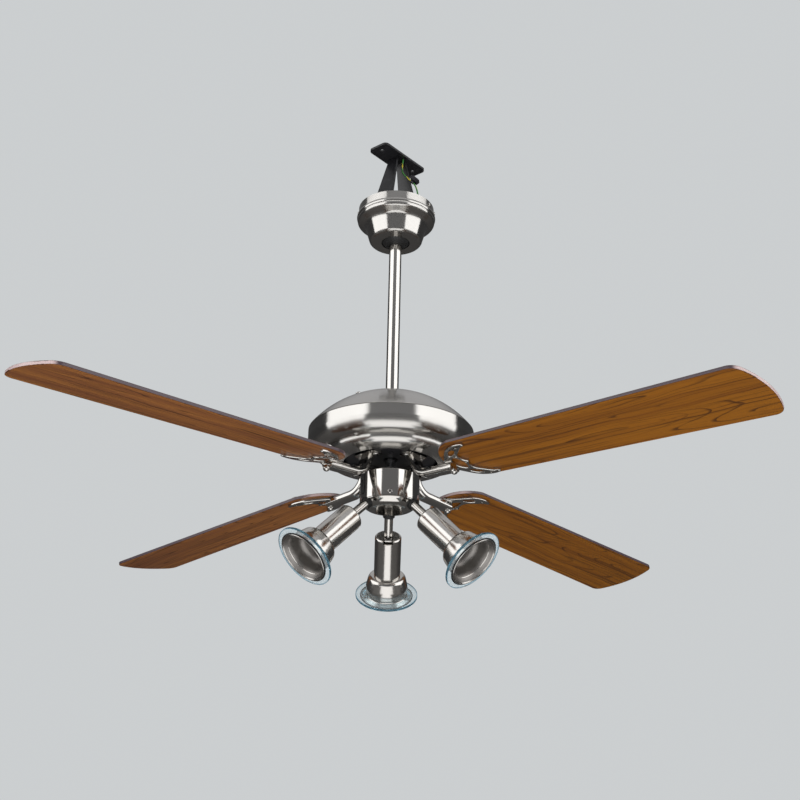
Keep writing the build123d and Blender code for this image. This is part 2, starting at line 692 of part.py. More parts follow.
with BuildPart() as rotor_lower_cover:
    with BuildSketch(Plane.XZ):
        with BuildLine():
            Polyline(
                (shaft_hole_r, Z_FLYWHEEL),
                (FLYWHEEL_FLAT_R, Z_FLYWHEEL),
                (ROTOR_R, Z_FLYWHEEL + FLYWHEEL_RISE),
                (ROTOR_R, Z_SPLIT),
                (core_outer_r, Z_SPLIT),
                (FLYWHEEL_FLAT_R - ROTOR_WALL / 2, Z_FLYWHEEL + FLYWHEEL_THICK),
                (boss_r, Z_FLYWHEEL + FLYWHEEL_THICK),
                (boss_r, Z_LOWER_BEARING + BEARING_WIDTH),
                (BEARING_R, Z_LOWER_BEARING + BEARING_WIDTH),
                (BEARING_R, Z_LOWER_BEARING),
                (shaft_hole_r, Z_LOWER_BEARING),
                close=True,
            )
        make_face()
    revolve(axis=Axis.Z)
    for azimuth in iron_azimuths:
        for seat in iron_screw_seats(azimuth):
            cut_round(seat, IRON_SCREW_R + SCREW_FIT, -(IRON_PAD_THICK + IRON_SCREW_BITE))
write(rotor_lower_cover, "rotor_lower_cover")

with BuildPart() as rotor_core:
    with BuildSketch(Plane.XY.offset(Z_STACK)):
        Circle(core_outer_r)
        Circle(STATOR_R + AIR_GAP, mode=Mode.SUBTRACT)
    extrude(amount=STACK_HEIGHT)
write(rotor_core, "rotor_core")

with BuildPart() as motor_bearings:
    for height in (Z_LOWER_BEARING, Z_UPPER_BEARING - BEARING_WIDTH):
        with BuildSketch(Plane.XY.offset(height)):
            Circle(BEARING_R)
            Circle(SHAFT_R + BEARING_FIT, mode=Mode.SUBTRACT)
        extrude(amount=BEARING_WIDTH)
write(motor_bearings, "motor_bearings")

with BuildPart() as stator_core:
    with BuildSketch(Plane.XY.offset(Z_STACK)):
        Circle(STATOR_R)
        with PolarLocations(STATOR_R, STATOR_TEETH):
            Rectangle(SLOT_DEPTH * 2, SLOT_WIDTH, mode=Mode.SUBTRACT)
        Circle(SHAFT_R, mode=Mode.SUBTRACT)
    extrude(amount=STACK_HEIGHT)
write(stator_core, "stator_core")

with BuildPart() as stator_windings:
    for height in (Z_STACK + STACK_HEIGHT, Z_STACK - WINDING_HEIGHT):
        with BuildSketch(Plane.XY.offset(height)):
            Circle(WINDING_OUTER_R)
            Circle(WINDING_INNER_R, mode=Mode.SUBTRACT)
        extrude(amount=WINDING_HEIGHT)
write(stator_windings, "stator_windings")

# Blades and irons
blade_root = BLADE_ROOT_R - BLADE_REF_R
blade_tip = SWEEP_R - BLADE_REF_R
root_half = BLADE_ROOT_WIDTH / 2
tip_half = BLADE_TIP_WIDTH / 2
root_depth = root_half * 0.8
root_side = blade_root + root_depth
tip_side = blade_tip - BLADE_TIP_ARC_R + sqrt(BLADE_TIP_ARC_R**2 - tip_half**2)
blade_screw_places = [
    (blade_root + BLADE_SCREW_MIDDLE, 0),
    (blade_root + BLADE_SCREW_ALONG, BLADE_SCREW_ACROSS),
    (blade_root + BLADE_SCREW_ALONG, -BLADE_SCREW_ACROSS),
]

# Outline of an iron's scroll as shares of its length and half width: a horn on each side of the
# blade's middle line, a lobe between the horns and a kite-shaped window behind the lobe
HORN_OUTER = [(0.045, 0.16), (0.13, 0.35), (0.26, 0.575), (0.415, 0.8), (0.61, 0.945), (0.8, 0.995), (0.94, 0.975)]
HORN_TIP = [(0.998, 0.93), (0.985, 0.86), (0.93, 0.835)]
HORN_INNER = [(0.83, 0.76), (0.68, 0.585), (0.56, 0.41), (0.535, 0.26), (0.575, 0.11)]
LOBE_SHARE = 0.63
KITE = [(0.27, 0.17), (0.35, 0.3), (0.42, 0.345), (0.465, 0.26), (0.495, 0.12)]
KITE_ENDS = (0.225, 0.505)
WINDOW_SHARE = (0.5, 0.625)


def mirrored_loop(first, points, last):
    """Points round a loop that is alike on both sides of the blade's middle line."""
    side = [(blade_root + x * SCROLL_LENGTH, y * SCROLL_HALF) for x, y in points]
    other = [(x, -y) for x, y in reversed(side)]
    return [(blade_root + first * SCROLL_LENGTH, 0), *side, (blade_root + last * SCROLL_LENGTH, 0), *other]


def blade_plane(azimuth):
    """The underside of a blade: x along the blade, y across it, tilted by the droop and the pitch."""
    along = radial(azimuth) * cos(radians(BLADE_DROOP)) - Vector(0, 0, sin(radians(BLADE_DROOP)))
    square = radial(azimuth) * sin(radians(BLADE_DROOP)) + Vector(0, 0, cos(radians(BLADE_DROOP)))
    normal = square * cos(radians(BLADE_PITCH)) + tangent(azimuth) * sin(radians(BLADE_PITCH))
    middle = radial(azimuth) * BLADE_REF_R + Vector(0, 0, Z_BLADE)
    return Plane(origin=middle, x_dir=along, z_dir=normal)


for index, azimuth in enumerate(iron_azimuths, 1):
    under = blade_plane(azimuth)
    with BuildPart() as blade:
        with BuildSketch(under):
            with BuildLine():
                ThreePointArc((root_side, -root_half), (blade_root, 0), (root_side, root_half))
                Line((root_side, root_half), (tip_side, tip_half))
                ThreePointArc((tip_side, tip_half), (blade_tip, 0), (tip_side, -tip_half))
                Line((tip_side, -tip_half), (root_side, -root_half))
            make_face()
        extrude(amount=BLADE_THICK)
        long_corners = blade.edges().filter_by(lambda e: abs(e.length - BLADE_THICK) < 0.01)
        tip_corners = long_corners.sort_by(lambda e: -(e @ 0.5).X**2 - (e @ 0.5).Y**2)[:2]
        fillet(tip_corners, BLADE_CORNER_R)
        faces = blade.faces().sort_by(lambda f: -f.area)[:2]
        fillet([edge for face in faces for edge in face.edges()], BLADE_EDGE)
        with BuildSketch(under):
            with Locations(*blade_screw_places):
                Circle(BLADE_SCREW_R + BLADE_SCREW_CLEAR)
        extrude(amount=BLADE_THICK, mode=Mode.SUBTRACT)
    write(blade, f"blade_{index}")

for index, azimuth in enumerate(iron_azimuths, 1):
    side = section_plane(azimuth)
    under = blade_plane(azimuth)
    pad_top = Plane(origin=(0, 0, Z_FLYWHEEL), x_dir=radial(azimuth), z_dir=(0, 0, 1))
    with BuildPart() as scroll:
        with BuildSketch(under):
            with BuildLine():
                Spline(*mirrored_loop(0, HORN_OUTER + HORN_TIP + HORN_INNER, LOBE_SHARE), periodic=True)
            make_face()
            with BuildLine():
                Spline(*mirrored_loop(KITE_ENDS[0], KITE, KITE_ENDS[1]), periodic=True)
            make_face(mode=Mode.SUBTRACT)
            for turn in (1, -1):
                spot = (blade_root + WINDOW_SHARE[0] * SCROLL_LENGTH, turn * WINDOW_SHARE[1] * SCROLL_HALF)
                with Locations(Location(spot, (0, 0, turn * SCROLL_WINDOW_TURN))):
                    Ellipse(SCROLL_WINDOW_LENGTH / 2, SCROLL_WINDOW_WIDTH / 2, mode=Mode.SUBTRACT)
        extrude(amount=-SCROLL_THICK)
        low_face = scroll.faces().sort_by(lambda f: (f.center() - under.origin).dot(under.z_dir))[0]
        fillet(low_face.edges(), SCROLL_EDGE)
    with BuildPart() as iron:
        with BuildSketch(pad_top):
            with Locations((IRON_PAD_R, 0)):
                RectangleRounded(IRON_PAD_LENGTH, IRON_PAD_WIDTH, IRON_PAD_CORNER)
        extrude(amount=-IRON_PAD_THICK)
        with BuildLine(side) as arm_path:
            arm_end_r = BLADE_ROOT_R + ARM_OVERLAP
            FilletPolyline(
                (ARM_START_R, Z_FLYWHEEL - IRON_PAD_THICK / 2),
                (ARM_BEND_R, Z_BLADE - ARM_DIP),
                (arm_end_r, Z_BLADE - ARM_END_DIP),
                radius=ARM_BEND_RADIUS,
            )
        start = arm_path.line @ 0
        heading = arm_path.line % 0
        with BuildSketch(Plane(origin=start, x_dir=tangent(azimuth), z_dir=heading)):
            RectangleRounded(ARM_WIDTH, ARM_THICK, ARM_THICK * 0.42)
        sweep(path=arm_path.line)
        with BuildSketch(pad_top):
            Circle(ROTOR_R)
        extrude(amount=ARM_THICK * 2, mode=Mode.SUBTRACT)
        add(scroll.part)
        with Locations((arm_path.line @ 1) - under.z_dir * (ARM_THICK / 2)):
            Sphere(BEAD_R)
        with BuildSketch(under):
            Rectangle(SWEEP_R, BLADE_TIP_WIDTH)
            with Locations((-BLADE_REF_R, 0)):
                Rectangle((BLADE_REF_R + blade_root - 1) * 2, BLADE_TIP_WIDTH, mode=Mode.SUBTRACT)
        extrude(amount=ARM_THICK * 2, mode=Mode.SUBTRACT)
        for seat in iron_screw_seats(azimuth):
            cut_round(seat, IRON_SCREW_R + SCREW_FIT, -IRON_PAD_THICK * 2)
        with BuildSketch(under):
            with Locations(*blade_screw_places):
                Circle(BLADE_SCREW_R + SCREW_FIT)
        extrude(amount=-SCROLL_THICK, mode=Mode.SUBTRACT)
    write(iron, f"blade_iron_{index}")

with BuildPart() as iron_screws:
    for azimuth in iron_azimuths:
        for seat in iron_screw_seats(azimuth):
            add_screw(seat, IRON_HEAD_R, IRON_HEAD_HEIGHT, IRON_SCREW_R, IRON_PAD_THICK + IRON_SCREW_BITE)
write(iron_screws, "iron_screws")

with BuildPart() as blade_screws:
    for azimuth in iron_azimuths:
        over = blade_plane(azimuth).offset(BLADE_THICK)
        for place in blade_screw_places:
            spot = over.origin + over.x_dir * place[0] + over.y_dir * place[1]
            seat = Plane(origin=spot, x_dir=over.x_dir, z_dir=over.z_dir)
            with BuildSketch(seat) as washer:
                Circle(WASHER_R)
            extrude(washer.sketch, amount=WASHER_THICK)
            reach = BLADE_THICK + SCROLL_THICK + WASHER_THICK
            add_screw(seat.offset(WASHER_THICK), BLADE_HEAD_R, BLADE_HEAD_HEIGHT, BLADE_SCREW_R, reach)
write(blade_screws, "blade_screws")

# Switch housing and light pan
Z_PLATE_UNDER = Z_PLATE - SWITCH_PLATE_THICK
with BuildPart() as switch_plate:
    with BuildSketch(Plane.XY.offset(Z_PLATE)):
        Circle(PAN_RIM_R - SWITCH_PLATE_CLEAR)
    extrude(amount=-SWITCH_PLATE_THICK)
    with BuildSketch(Plane.XY.offset(Z_PLATE + SWITCH_COLLAR_RISE)):
        Circle(SWITCH_COLLAR_R)
    extrude(amount=-(SWITCH_COLLAR_RISE + SWITCH_PLATE_THICK + SWITCH_COLLAR_DROP))
    cut_round(Plane.XY.offset(Z_PLATE), SHAFT_R, SWITCH_COLLAR_R * 4, both=True)
write(switch_plate, "switch_plate")

Z_PAN_SCREW = Z_SWITCH_END + PAN_SCREW_RAISE
Z_DIRECTION = Z_SWITCH - DIRECTION_DROP
direction_face = outward_plane(DIRECTION_AZIMUTH, SWITCH_R, Z_DIRECTION)

with BuildPart() as switch_housing:
    with BuildSketch(Plane.XZ):
        with BuildLine():
            FilletPolyline(
                (SWITCH_R - SWITCH_FLANGE, Z_SWITCH),
                (SWITCH_R, Z_SWITCH),
                (SWITCH_R, Z_SWITCH_END),
                radius=SWITCH_SHEET * 1.5,
            )
            offset(amount=SWITCH_SHEET, side=Side.RIGHT)
        make_face()
    revolve(axis=Axis.Z)
    for azimuth in PAN_SCREW_AZIMUTHS:
        cut_round(outward_plane(azimuth, SWITCH_R + 1, Z_PAN_SCREW), SMALL_SCREW_R + SCREW_FIT, -PAN_LAP)
    with BuildSketch(direction_face.offset(1)):
        Rectangle(DIRECTION_BODY[0] + WINDOW_CLEAR * 2, DIRECTION_BODY[1] + WINDOW_CLEAR * 2)
    extrude(amount=-DIRECTION_BODY[2], mode=Mode.SUBTRACT)
write(switch_housing, "switch_housing")

with BuildPart() as reverse_switch_body:
    with BuildSketch(direction_face):
        Rectangle(DIRECTION_BODY[0], DIRECTION_BODY[1])
    extrude(amount=-DIRECTION_BODY[2])
    with BuildSketch(direction_face):
        RectangleRounded(DIRECTION_BEZEL[0], DIRECTION_BEZEL[1], DIRECTION_BEZEL[0] / 3)
    extrude(amount=DIRECTION_BEZEL[2])
    with BuildSketch(direction_face.offset(DIRECTION_BEZEL[2])):
        Rectangle(DIRECTION_SLOT[0], DIRECTION_SLOT[1])
    extrude(amount=-(DIRECTION_BEZEL[2] + DIRECTION_SLOT[2]), mode=Mode.SUBTRACT)
write(reverse_switch_body, "reverse_switch_body")

with BuildPart() as reverse_switch_slider:
    with BuildSketch(direction_face.offset(DIRECTION_BEZEL[2] + SLIDER_PROUD)):
        with Locations((0, -SLIDER_TRAVEL / 2)):
            Rectangle(SLIDER_SIZE[0], SLIDER_SIZE[1])
    extrude(amount=-(DIRECTION_BEZEL[2] + SLIDER_PROUD + DIRECTION_SLOT[2] - WINDOW_CLEAR * 2))
write(reverse_switch_slider, "reverse_switch_slider")

with BuildPart() as capacitor:
    with Locations((0, CAPACITOR_OFFSET, Z_PLATE_UNDER - CAPACITOR_SIZE[2] / 2)):
        Box(*CAPACITOR_SIZE)
    fillet(capacitor.edges().filter_by(Axis.Z), CAPACITOR_CORNER)
write(capacitor, "capacitor")

# Light pan: a rim inside the switch housing and a bowl that meets each stem square
tilt = radians(SPOT_TILT)
Z_BOWL = Z_SWITCH_END - PAN_DROP
pan_centre_r = SPOT_EXIT_R - PAN_CURVE_R * sin(tilt)
pan_top_r = SWITCH_R - SWITCH_SHEET - PAN_SHEET - 1.0
pan_centre_drop = sqrt(PAN_CURVE_R**2 - (pan_top_r - pan_centre_r) ** 2)
Z_PAN_CENTRE = Z_BOWL + pan_centre_drop
Z_SPOT = Z_PAN_CENTRE - PAN_CURVE_R * cos(tilt)
Z_PAN_BOTTOM = Z_PAN_CENTRE - PAN_CURVE_R


def spot_line(azimuth, distance):
    """A point on a spotlight's axis, measured from the pan's face."""
    start = radial(azimuth) * SPOT_EXIT_R + Vector(0, 0, Z_SPOT)
    return start + spot_way(azimuth) * distance


def spot_way(azimuth):
    """Unit vector along a spotlight's axis, outwards and down."""
    return radial(azimuth) * sin(tilt) - Vector(0, 0, cos(tilt))


def spot_cross(azimuth, distance):
    """Plane square to a spotlight's axis, with x along its tilt pin."""
    return Plane(origin=spot_line(azimuth, distance), x_dir=tangent(azimuth), z_dir=spot_way(azimuth))


def spot_section(azimuth):
    """Plane through a spotlight's axis whose x is the radius and y the distance along the axis."""
    across = tangent(azimuth)
    return Plane(origin=spot_line(azimuth, 0), x_dir=across, z_dir=across.cross(spot_way(azimuth)))


def spot_pin_plane(azimuth):
    """Plane through the pivot, square to the tilt pin."""
    return Plane(origin=spot_line(azimuth, T_PIVOT), x_dir=spot_way(azimuth), z_dir=tangent(azimuth))


with BuildPart() as light_pan:
    with BuildSketch(Plane.XZ):
        with BuildLine():
            Polyline(
                (PAN_RIM_R, Z_SWITCH_END + PAN_LAP),
                (PAN_RIM_R, Z_BOWL),
                (pan_top_r, Z_BOWL),
            )
            middle_angle = SPOT_TILT + 4
            ThreePointArc(
                (pan_top_r, Z_BOWL),
                (
                    pan_centre_r + PAN_CURVE_R * sin(radians(middle_angle)),
                    Z_PAN_CENTRE - PAN_CURVE_R * cos(radians(middle_angle)),
                ),
                (pan_centre_r, Z_PAN_BOTTOM),
            )
            Line((pan_centre_r, Z_PAN_BOTTOM), (0, Z_PAN_BOTTOM))
            offset(amount=PAN_SHEET, side=Side.RIGHT)
        make_face()
    revolve(axis=Axis.Z)
    for azimuth in SPOT_AZIMUTHS:
        cut_round(spot_cross(azimuth, 0), STEM_R + STEM_FIT, STEM_NUT_DEPTH, both=True)
    for azimuth in PAN_SCREW_AZIMUTHS:
        cut_round(outward_plane(azimuth, SWITCH_R, Z_PAN_SCREW), SMALL_SCREW_R + SCREW_FIT, -PAN_LAP)
write(light_pan, "light_pan")

with BuildPart() as pan_screws:
    for azimuth in PAN_SCREW_AZIMUTHS:
        seat = outward_plane(azimuth, SWITCH_R, Z_PAN_SCREW)
        add_screw(seat, SMALL_HEAD_R, SMALL_HEAD_HEIGHT, SMALL_SCREW_R, SWITCH_SHEET + PAN_SHEET + 2)
write(pan_screws, "pan_screws")

with BuildPart() as stem_gaskets:
    for azimuth in SPOT_AZIMUTHS:
        with BuildSketch(spot_cross(azimuth, GASKET_PROUD)):
            Circle(GASKET_R)
            Circle(STEM_R + STEM_FIT, mode=Mode.SUBTRACT)
        extrude(amount=-(GASKET_PROUD + GASKET_SINK))
    with BuildSketch(Plane.XZ) as bowl:
        with BuildLine():
            Polyline(
                (0, Z_SWITCH),
                (SWITCH_R + GASKET_CLEAR, Z_SWITCH),
                (SWITCH_R + GASKET_CLEAR, Z_BOWL),
                (pan_top_r, Z_BOWL),
            )
            ThreePointArc(
                (pan_top_r, Z_BOWL),
                (
                    pan_centre_r + PAN_CURVE_R * sin(radians(middle_angle)),
                    Z_PAN_CENTRE - PAN_CURVE_R * cos(radians(middle_angle)),
                ),
                (pan_centre_r, Z_PAN_BOTTOM),
            )
            Polyline((pan_centre_r, Z_PAN_BOTTOM), (0, Z_PAN_BOTTOM), (0, Z_SWITCH))
        make_face()
    revolve(axis=Axis.Z, mode=Mode.SUBTRACT)
write(stem_gaskets, "stem_gaskets")

# Spotlights
cup_neck_r = CAN_R + CUP_FIT
glass_hole_r = CUP_MOUTH_R + GLASS_HOLE_CLEAR
reflector_r = CUP_MOUTH_R - CUP_SHEET - REFLECTOR_GAP
T_REFLECTOR = T_LIP - REFLECTOR_SETBACK
T_HOLDER = T_REFLECTOR - REFLECTOR_DEPTH
neck_r = HOLDER_R + HOLDER_FIT

for index, azimuth in enumerate(SPOT_AZIMUTHS, 1):
    section = spot_section(azimuth)
    spin = Axis(origin=spot_line(azimuth, 0), direction=spot_way(azimuth))
    pin_plane = spot_pin_plane(azimuth)

    with BuildPart() as stem:
        with BuildSketch(spot_cross(azimuth, -STEM_NUT_DEPTH)):
            Circle(STEM_R)
        extrude(amount=STEM_NUT_DEPTH + T_PIVOT)
        with Locations(spot_line(azimuth, T_PIVOT)):
            Sphere(STEM_R)
        with BuildSketch(spot_cross(azimuth, -STEM_NUT_DEPTH)):
            RegularPolygon(STEM_NUT_R, 6)
        extrude(amount=STEM_NUT_HEIGHT)
        cut_round(spot_cross(azimuth, -STEM_NUT_DEPTH), STEM_BORE_R, STEM_NUT_DEPTH + T_PIVOT - STEM_R)
        cut_round(pin_plane, TILT_PIN_R + TILT_PIN_FIT, STEM_R * 2, both=True)
    write(stem, f"stem_{index}")

    with BuildPart() as can:
        with BuildSketch(section):
            with BuildLine():
                FilletPolyline((0, T_CAN), (CAN_R, T_CAN), (CAN_R, T_CUP + CAN_LAP), radius=CAN_FILLET)
                offset(amount=CAN_WALL, side=Side.LEFT)
            make_face()
        revolve(axis=spin)
        slot_half = STEM_R + CAN_SLOT_CLEAR
        with BuildSketch(spot_cross(azimuth, T_CAN - 1)):
            Circle(slot_half)
            with Locations((0, -CAN_R)):
                Rectangle(slot_half * 2, CAN_R * 2)
        extrude(amount=TILT_DEPTH - 2, mode=Mode.SUBTRACT)
        cut_round(pin_plane, TILT_PIN_R, CAN_R * 2, both=True)
    write(can, f"can_{index}")

    with BuildPart() as pin:
        with BuildSketch(pin_plane):
            Circle(TILT_PIN_R)
        extrude(amount=CAN_R - 0.2, both=True)
    write(pin, f"pivot_pin_{index}")

    with BuildPart() as cup:
        with BuildSketch(section):
            with BuildLine():
                FilletPolyline(
                    (cup_neck_r, T_CUP),
                    (CUP_R - 2, T_CUP),
                    (CUP_R, T_CUP + CUP_BULGE),
                    (CUP_MOUTH_R, T_LIP),
                    (LIP_R, T_LIP),
                    radius=[CUP_SHOULDER_FILLET, CUP_BULGE_FILLET, LIP_FILLET],
                )
                offset(amount=CUP_SHEET, side=Side.LEFT)
            make_face()
        revolve(axis=spin)
    write(cup, f"cup_{index}")

    with BuildPart() as glass_ring:
        with BuildSketch(section):
            with BuildLine():
                Polyline(
                    (glass_hole_r, T_LIP - GLASS_THICK),
                    (GLASS_R - GLASS_EDGE, T_LIP - GLASS_THICK),
                    (GLASS_R, T_LIP - GLASS_THICK + GLASS_EDGE),
                    (GLASS_R, T_LIP - GLASS_EDGE),
                    (GLASS_R - GLASS_EDGE, T_LIP),
                    (glass_hole_r, T_LIP),
                    close=True,
                )
            make_face()
        revolve(axis=spin)
    write(glass_ring, f"glass_ring_{index}")

    with BuildPart() as reflector:
        with BuildSketch(section):
            with BuildLine():
                mouth = (reflector_r, T_REFLECTOR)
                mouth_inner = (reflector_r - REFLECTOR_SHEET, T_REFLECTOR)
                throat = (neck_r, T_HOLDER)
                throat_inner = (neck_r, T_HOLDER + REFLECTOR_SHEET)
                Spline(throat, mouth, tangents=((1.0, 0.35), (0.12, 1)))
                Line(mouth, mouth_inner)
                Spline(mouth_inner, throat_inner, tangents=((-0.12, -1), (-1.0, -0.35)))
                Line(throat_inner, throat)
            make_face()
        revolve(axis=spin)
    write(reflector, f"reflector_{index}")

    with BuildPart() as holder:
        with BuildSketch(spot_cross(azimuth, T_HOLDER)):
            Circle(HOLDER_R)
        extrude(amount=-HOLDER_LENGTH)
        with BuildSketch(spot_cross(azimuth, T_HOLDER - HOLDER_LENGTH)):
            Circle(CAN_R - CAN_WALL)
        extrude(amount=HOLDER_FLANGE)
        cut_round(spot_cross(azimuth, T_HOLDER), HOLDER_SOCKET_R, -HOLDER_SOCKET_DEPTH)
    write(holder, f"lamp_holder_{index}")

print("heights", {name: round(value, 2) for name, value in list(globals().items()) if name.startswith("Z_")})
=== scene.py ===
"""Looks for a ceiling fan with three spotlights: finishes, small hardware, studio light and camera."""

import json
import math

import bmesh
import bpy
from mathutils import Matrix, Vector


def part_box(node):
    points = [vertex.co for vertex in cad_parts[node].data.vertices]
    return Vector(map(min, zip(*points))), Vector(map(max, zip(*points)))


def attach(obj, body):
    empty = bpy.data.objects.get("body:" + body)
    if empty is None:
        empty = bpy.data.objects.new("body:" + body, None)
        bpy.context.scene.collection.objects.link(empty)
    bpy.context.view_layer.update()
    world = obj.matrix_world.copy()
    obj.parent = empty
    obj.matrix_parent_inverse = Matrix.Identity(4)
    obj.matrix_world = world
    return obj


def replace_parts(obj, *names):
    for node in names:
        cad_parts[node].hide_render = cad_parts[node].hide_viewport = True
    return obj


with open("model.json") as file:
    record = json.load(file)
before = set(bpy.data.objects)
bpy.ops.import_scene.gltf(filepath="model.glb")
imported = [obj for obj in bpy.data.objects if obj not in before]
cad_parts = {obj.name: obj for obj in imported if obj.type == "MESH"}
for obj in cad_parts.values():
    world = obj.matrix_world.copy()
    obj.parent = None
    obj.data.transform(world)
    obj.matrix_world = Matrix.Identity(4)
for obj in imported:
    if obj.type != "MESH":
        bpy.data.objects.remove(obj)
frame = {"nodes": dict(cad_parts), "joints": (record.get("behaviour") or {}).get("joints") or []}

bl_info = {
    "name": "Ceiling Fan Looks",
    "version": (1, 0, 0),
    "blender": (4, 5, 0),
    "location": "3D View > Sidebar > Fan",
    "description": "Finishes, small hardware, studio light and camera for a ceiling fan",
    "category": "Object",
}

NODES = frame["nodes"]
JOINTS = {joint["name"]: joint for joint in frame["joints"]}
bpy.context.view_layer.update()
BLADE_COUNT = 4
FIRST_BLADE = 45.0
SPOT_COUNT = 3
# Painted light: shares of each blade's ground and shade colours. The left blades 2 and 3 are lighter and
# bluer than the right blades 1 and 4, for how light falls on each side.
BLADE_PAINTED_LIGHT = ((1.0, 1.0, 0.85), (1.14, 1.19, 3.2), (1.14, 1.19, 3.2), (1.0, 1.0, 0.85))
BLADE_BACK = 0.35
BLADE_BACK_COLOUR = (0.01, 0.005, 0.003, 1)
FAN_MIDDLE = Vector((0, 0, -0.55))
SOFTBOX_TURN = math.radians(65)
SOFTBOX_RISE = math.radians(16)
SOFTBOX_REACH = 3.6
SOFTBOX_WIDTH = 4.4
SOFTBOX_HEIGHT = 3.6
FLOOR_LAMP_HEIGHT = -1.75
FLOOR_LAMPS = (
    ("near floor lamp", 0.15, -0.6, 0.9),
    ("middle floor lamp", -0.6, -1.3, 1.8),
    ("far floor lamp", -1.3, -2.5, 3.0),
)
SCREW_FLAT = 0.62
SCREW_SIDE = 0.35
WASHER_CHAMFER = 0.3
RECESS_ARM = 0.44
RECESS_HALF = 0.10
RECESS_TAPER = 0.6
RECESS_DEPTH = 0.34
SPIN_STEPS = 96
BELL_FILLETS = (0.008, 0.024, 0.003)
BOWL_FILLETS = (0.012, 0.018)
GLASS_EDGE = 0.0008
GLASS_STEPS = 128
SEAL_THICK = 0.0010
SET_SCREW = (0.0021, 0.0012, 0.0012, 0.0018)
COVER_RINGS = ((8, FIRST_BLADE / 2, 0.064), (4, 0.0, 0.031))
COVER_SHANK = 0.006
SHELL_RIDGES = 28
SHELL_SETBACK = 0.0015
SHELL_FOOT = 0.004
SHELL_PLAY = 0.0006
SHELL_RIDGE = 0.0003
SHELL_WALL = 0.0002
CONTACT = ((0.0, 0.0016), (0.002, 0.0013), (0.0028, 0.0), (0.0, 0.0))
HINGE_PLAY = 0.0004
HINGE_EDGE = 0.0008
PLATE_PLAY = 0.0006
PLATE_INSET = 0.0014
PLATE_THICK = 0.004
PLATE_EDGE = 0.002
FINE_BRUSH = 900.0
PLUG_CLIP = ((0.00135, -0.003), (0.0026, -0.003), (0.0026, 0.003), (0.00135, 0.003))
PLUG_BLOCKS = (
    ((0.0062, 0, 0), (0.0074, 0.0086, 0.0150)),
    ((0.0062, 0, 0.0045), (0.0082, 0.0094, 0.0014)),
    ((0.0062, 0, 0.0020), (0.0082, 0.0094, 0.0014)),
    ((0.0062, 0, -0.0088), (0.0046, 0.0056, 0.0040)),
)
PLUG_EDGE = 0.0005
WIRE_ROUTE = (
    (0.010, -0.006, -0.004),
    (0.008, -0.006, -0.020),
    (0.009, -0.008, -0.034),
    (0.021, -0.013, -0.049),
    (0.032, -0.015, -0.061),
    (0.0365, -0.014, -0.078),
    (0.040, -0.012, -0.102),
    (0.041, -0.012, -0.1276),
)


class Value:
    """A number or colour that varies over a surface. Sums on it add Math nodes."""

    def __init__(self, finish, socket):
        self.finish = finish
        self.socket = socket

    def join(self, operation, first, second):
        return self.finish.node("ShaderNodeMath", {"operation": operation}, {0: first, 1: second})

    def __add__(self, other):
        return self.join("ADD", self, other)

    __radd__ = __add__

    def __sub__(self, other):
        return self.join("SUBTRACT", self, other)

    def __rsub__(self, other):
        return self.join("SUBTRACT", other, self)

    def __mul__(self, other):
        return self.join("MULTIPLY", self, other)

    __rmul__ = __mul__

    def __truediv__(self, other):
        return self.join("DIVIDE", self, other)

    def __pow__(self, other):
        return self.join("POWER", self, other)

    def __abs__(self):
        return self.join("ABSOLUTE", self, 0.0)

    def ramp(self, low, high):
        """0 below low, 1 above high and a soft step between."""
        inputs = {"Value": self, "From Min": low, "From Max": high}
        return self.finish.node("ShaderNodeMapRange", {"interpolation_type": "SMOOTHSTEP"}, inputs)


class NodeBook:
    """Adds nodes to one node tree."""

    def __init__(self, tree):
        self.tree = tree
        self.tree.nodes.clear()

    def feed(self, socket, value):
        if isinstance(value, Value):
            self.tree.links.new(value.socket, socket)
        else:
            socket.default_value = value

    def node(self, kind, settings=None, inputs=None, output=0):
        made = self.tree.nodes.new(kind)
        for name, value in (settings or {}).items():
            setattr(made, name, value)
        for key, value in (inputs or {}).items():
            self.feed(made.inputs[key], value)
        return Value(self, made.outputs[output])

    def other(self, value, output):
        """Another output of the node that a value comes from."""
        return Value(self, value.socket.node.outputs[output])

    def mix(self, factor, first, second):
        """A colour between two colours."""
        made = self.node("ShaderNodeMix", {"data_type": "RGBA"}, {"Factor": factor}, output=2)
        self.feed(made.socket.node.inputs[6], first)
        self.feed(made.socket.node.inputs[7], second)
        return made

    def vector(self, x, y, z):
        return self.node("ShaderNodeCombineXYZ", None, {0: x, 1: y, 2: z})

    def parts(self, vector):
        """The three numbers of a vector."""
        x = self.node("ShaderNodeSeparateXYZ", None, {0: vector})
        return x, self.other(x, 1), self.other(x, 2)

    def noise(self, vector, scale, detail=2.0, roughness=0.5):
        inputs = {"Vector": vector, "Scale": scale, "Detail": detail, "Roughness": roughness}
        return self.node("ShaderNodeTexNoise", None, inputs)


class Finish(NodeBook):
    """A material with one Principled shader."""

    def __init__(self, name, **constants):
        self.material = bpy.data.materials.new(name)
        self.material.use_nodes = True
        super().__init__(self.material.node_tree)
        self.shader = self.tree.nodes.new("ShaderNodeBsdfPrincipled")
        output = self.tree.nodes.new("ShaderNodeOutputMaterial")
        self.tree.links.new(self.shader.outputs[0], output.inputs[0])
        for name, value in constants.items():
            self.set(name.replace("_", " ").title().replace("Ior", "IOR"), value)

    def set(self, socket, value):
        self.feed(self.shader.inputs[socket], value)

    def place(self, turn=None):
        """Object coordinates, or those of a piece's own frame."""
        place = self.node("ShaderNodeTexCoord", output=3)
        if turn is None:
            return place
        away = turn.inverted()
        inputs = {"Vector": place, "Location": away.to_translation(), "Rotation": away.to_euler()}
        return self.node("ShaderNodeMapping", {"vector_type": "POINT"}, inputs)

    def bump(self, height, strength, distance):
        inputs = {"Height": height, "Strength": strength, "Distance": distance}
        self.set("Normal", self.node("ShaderNodeBump", None, inputs))


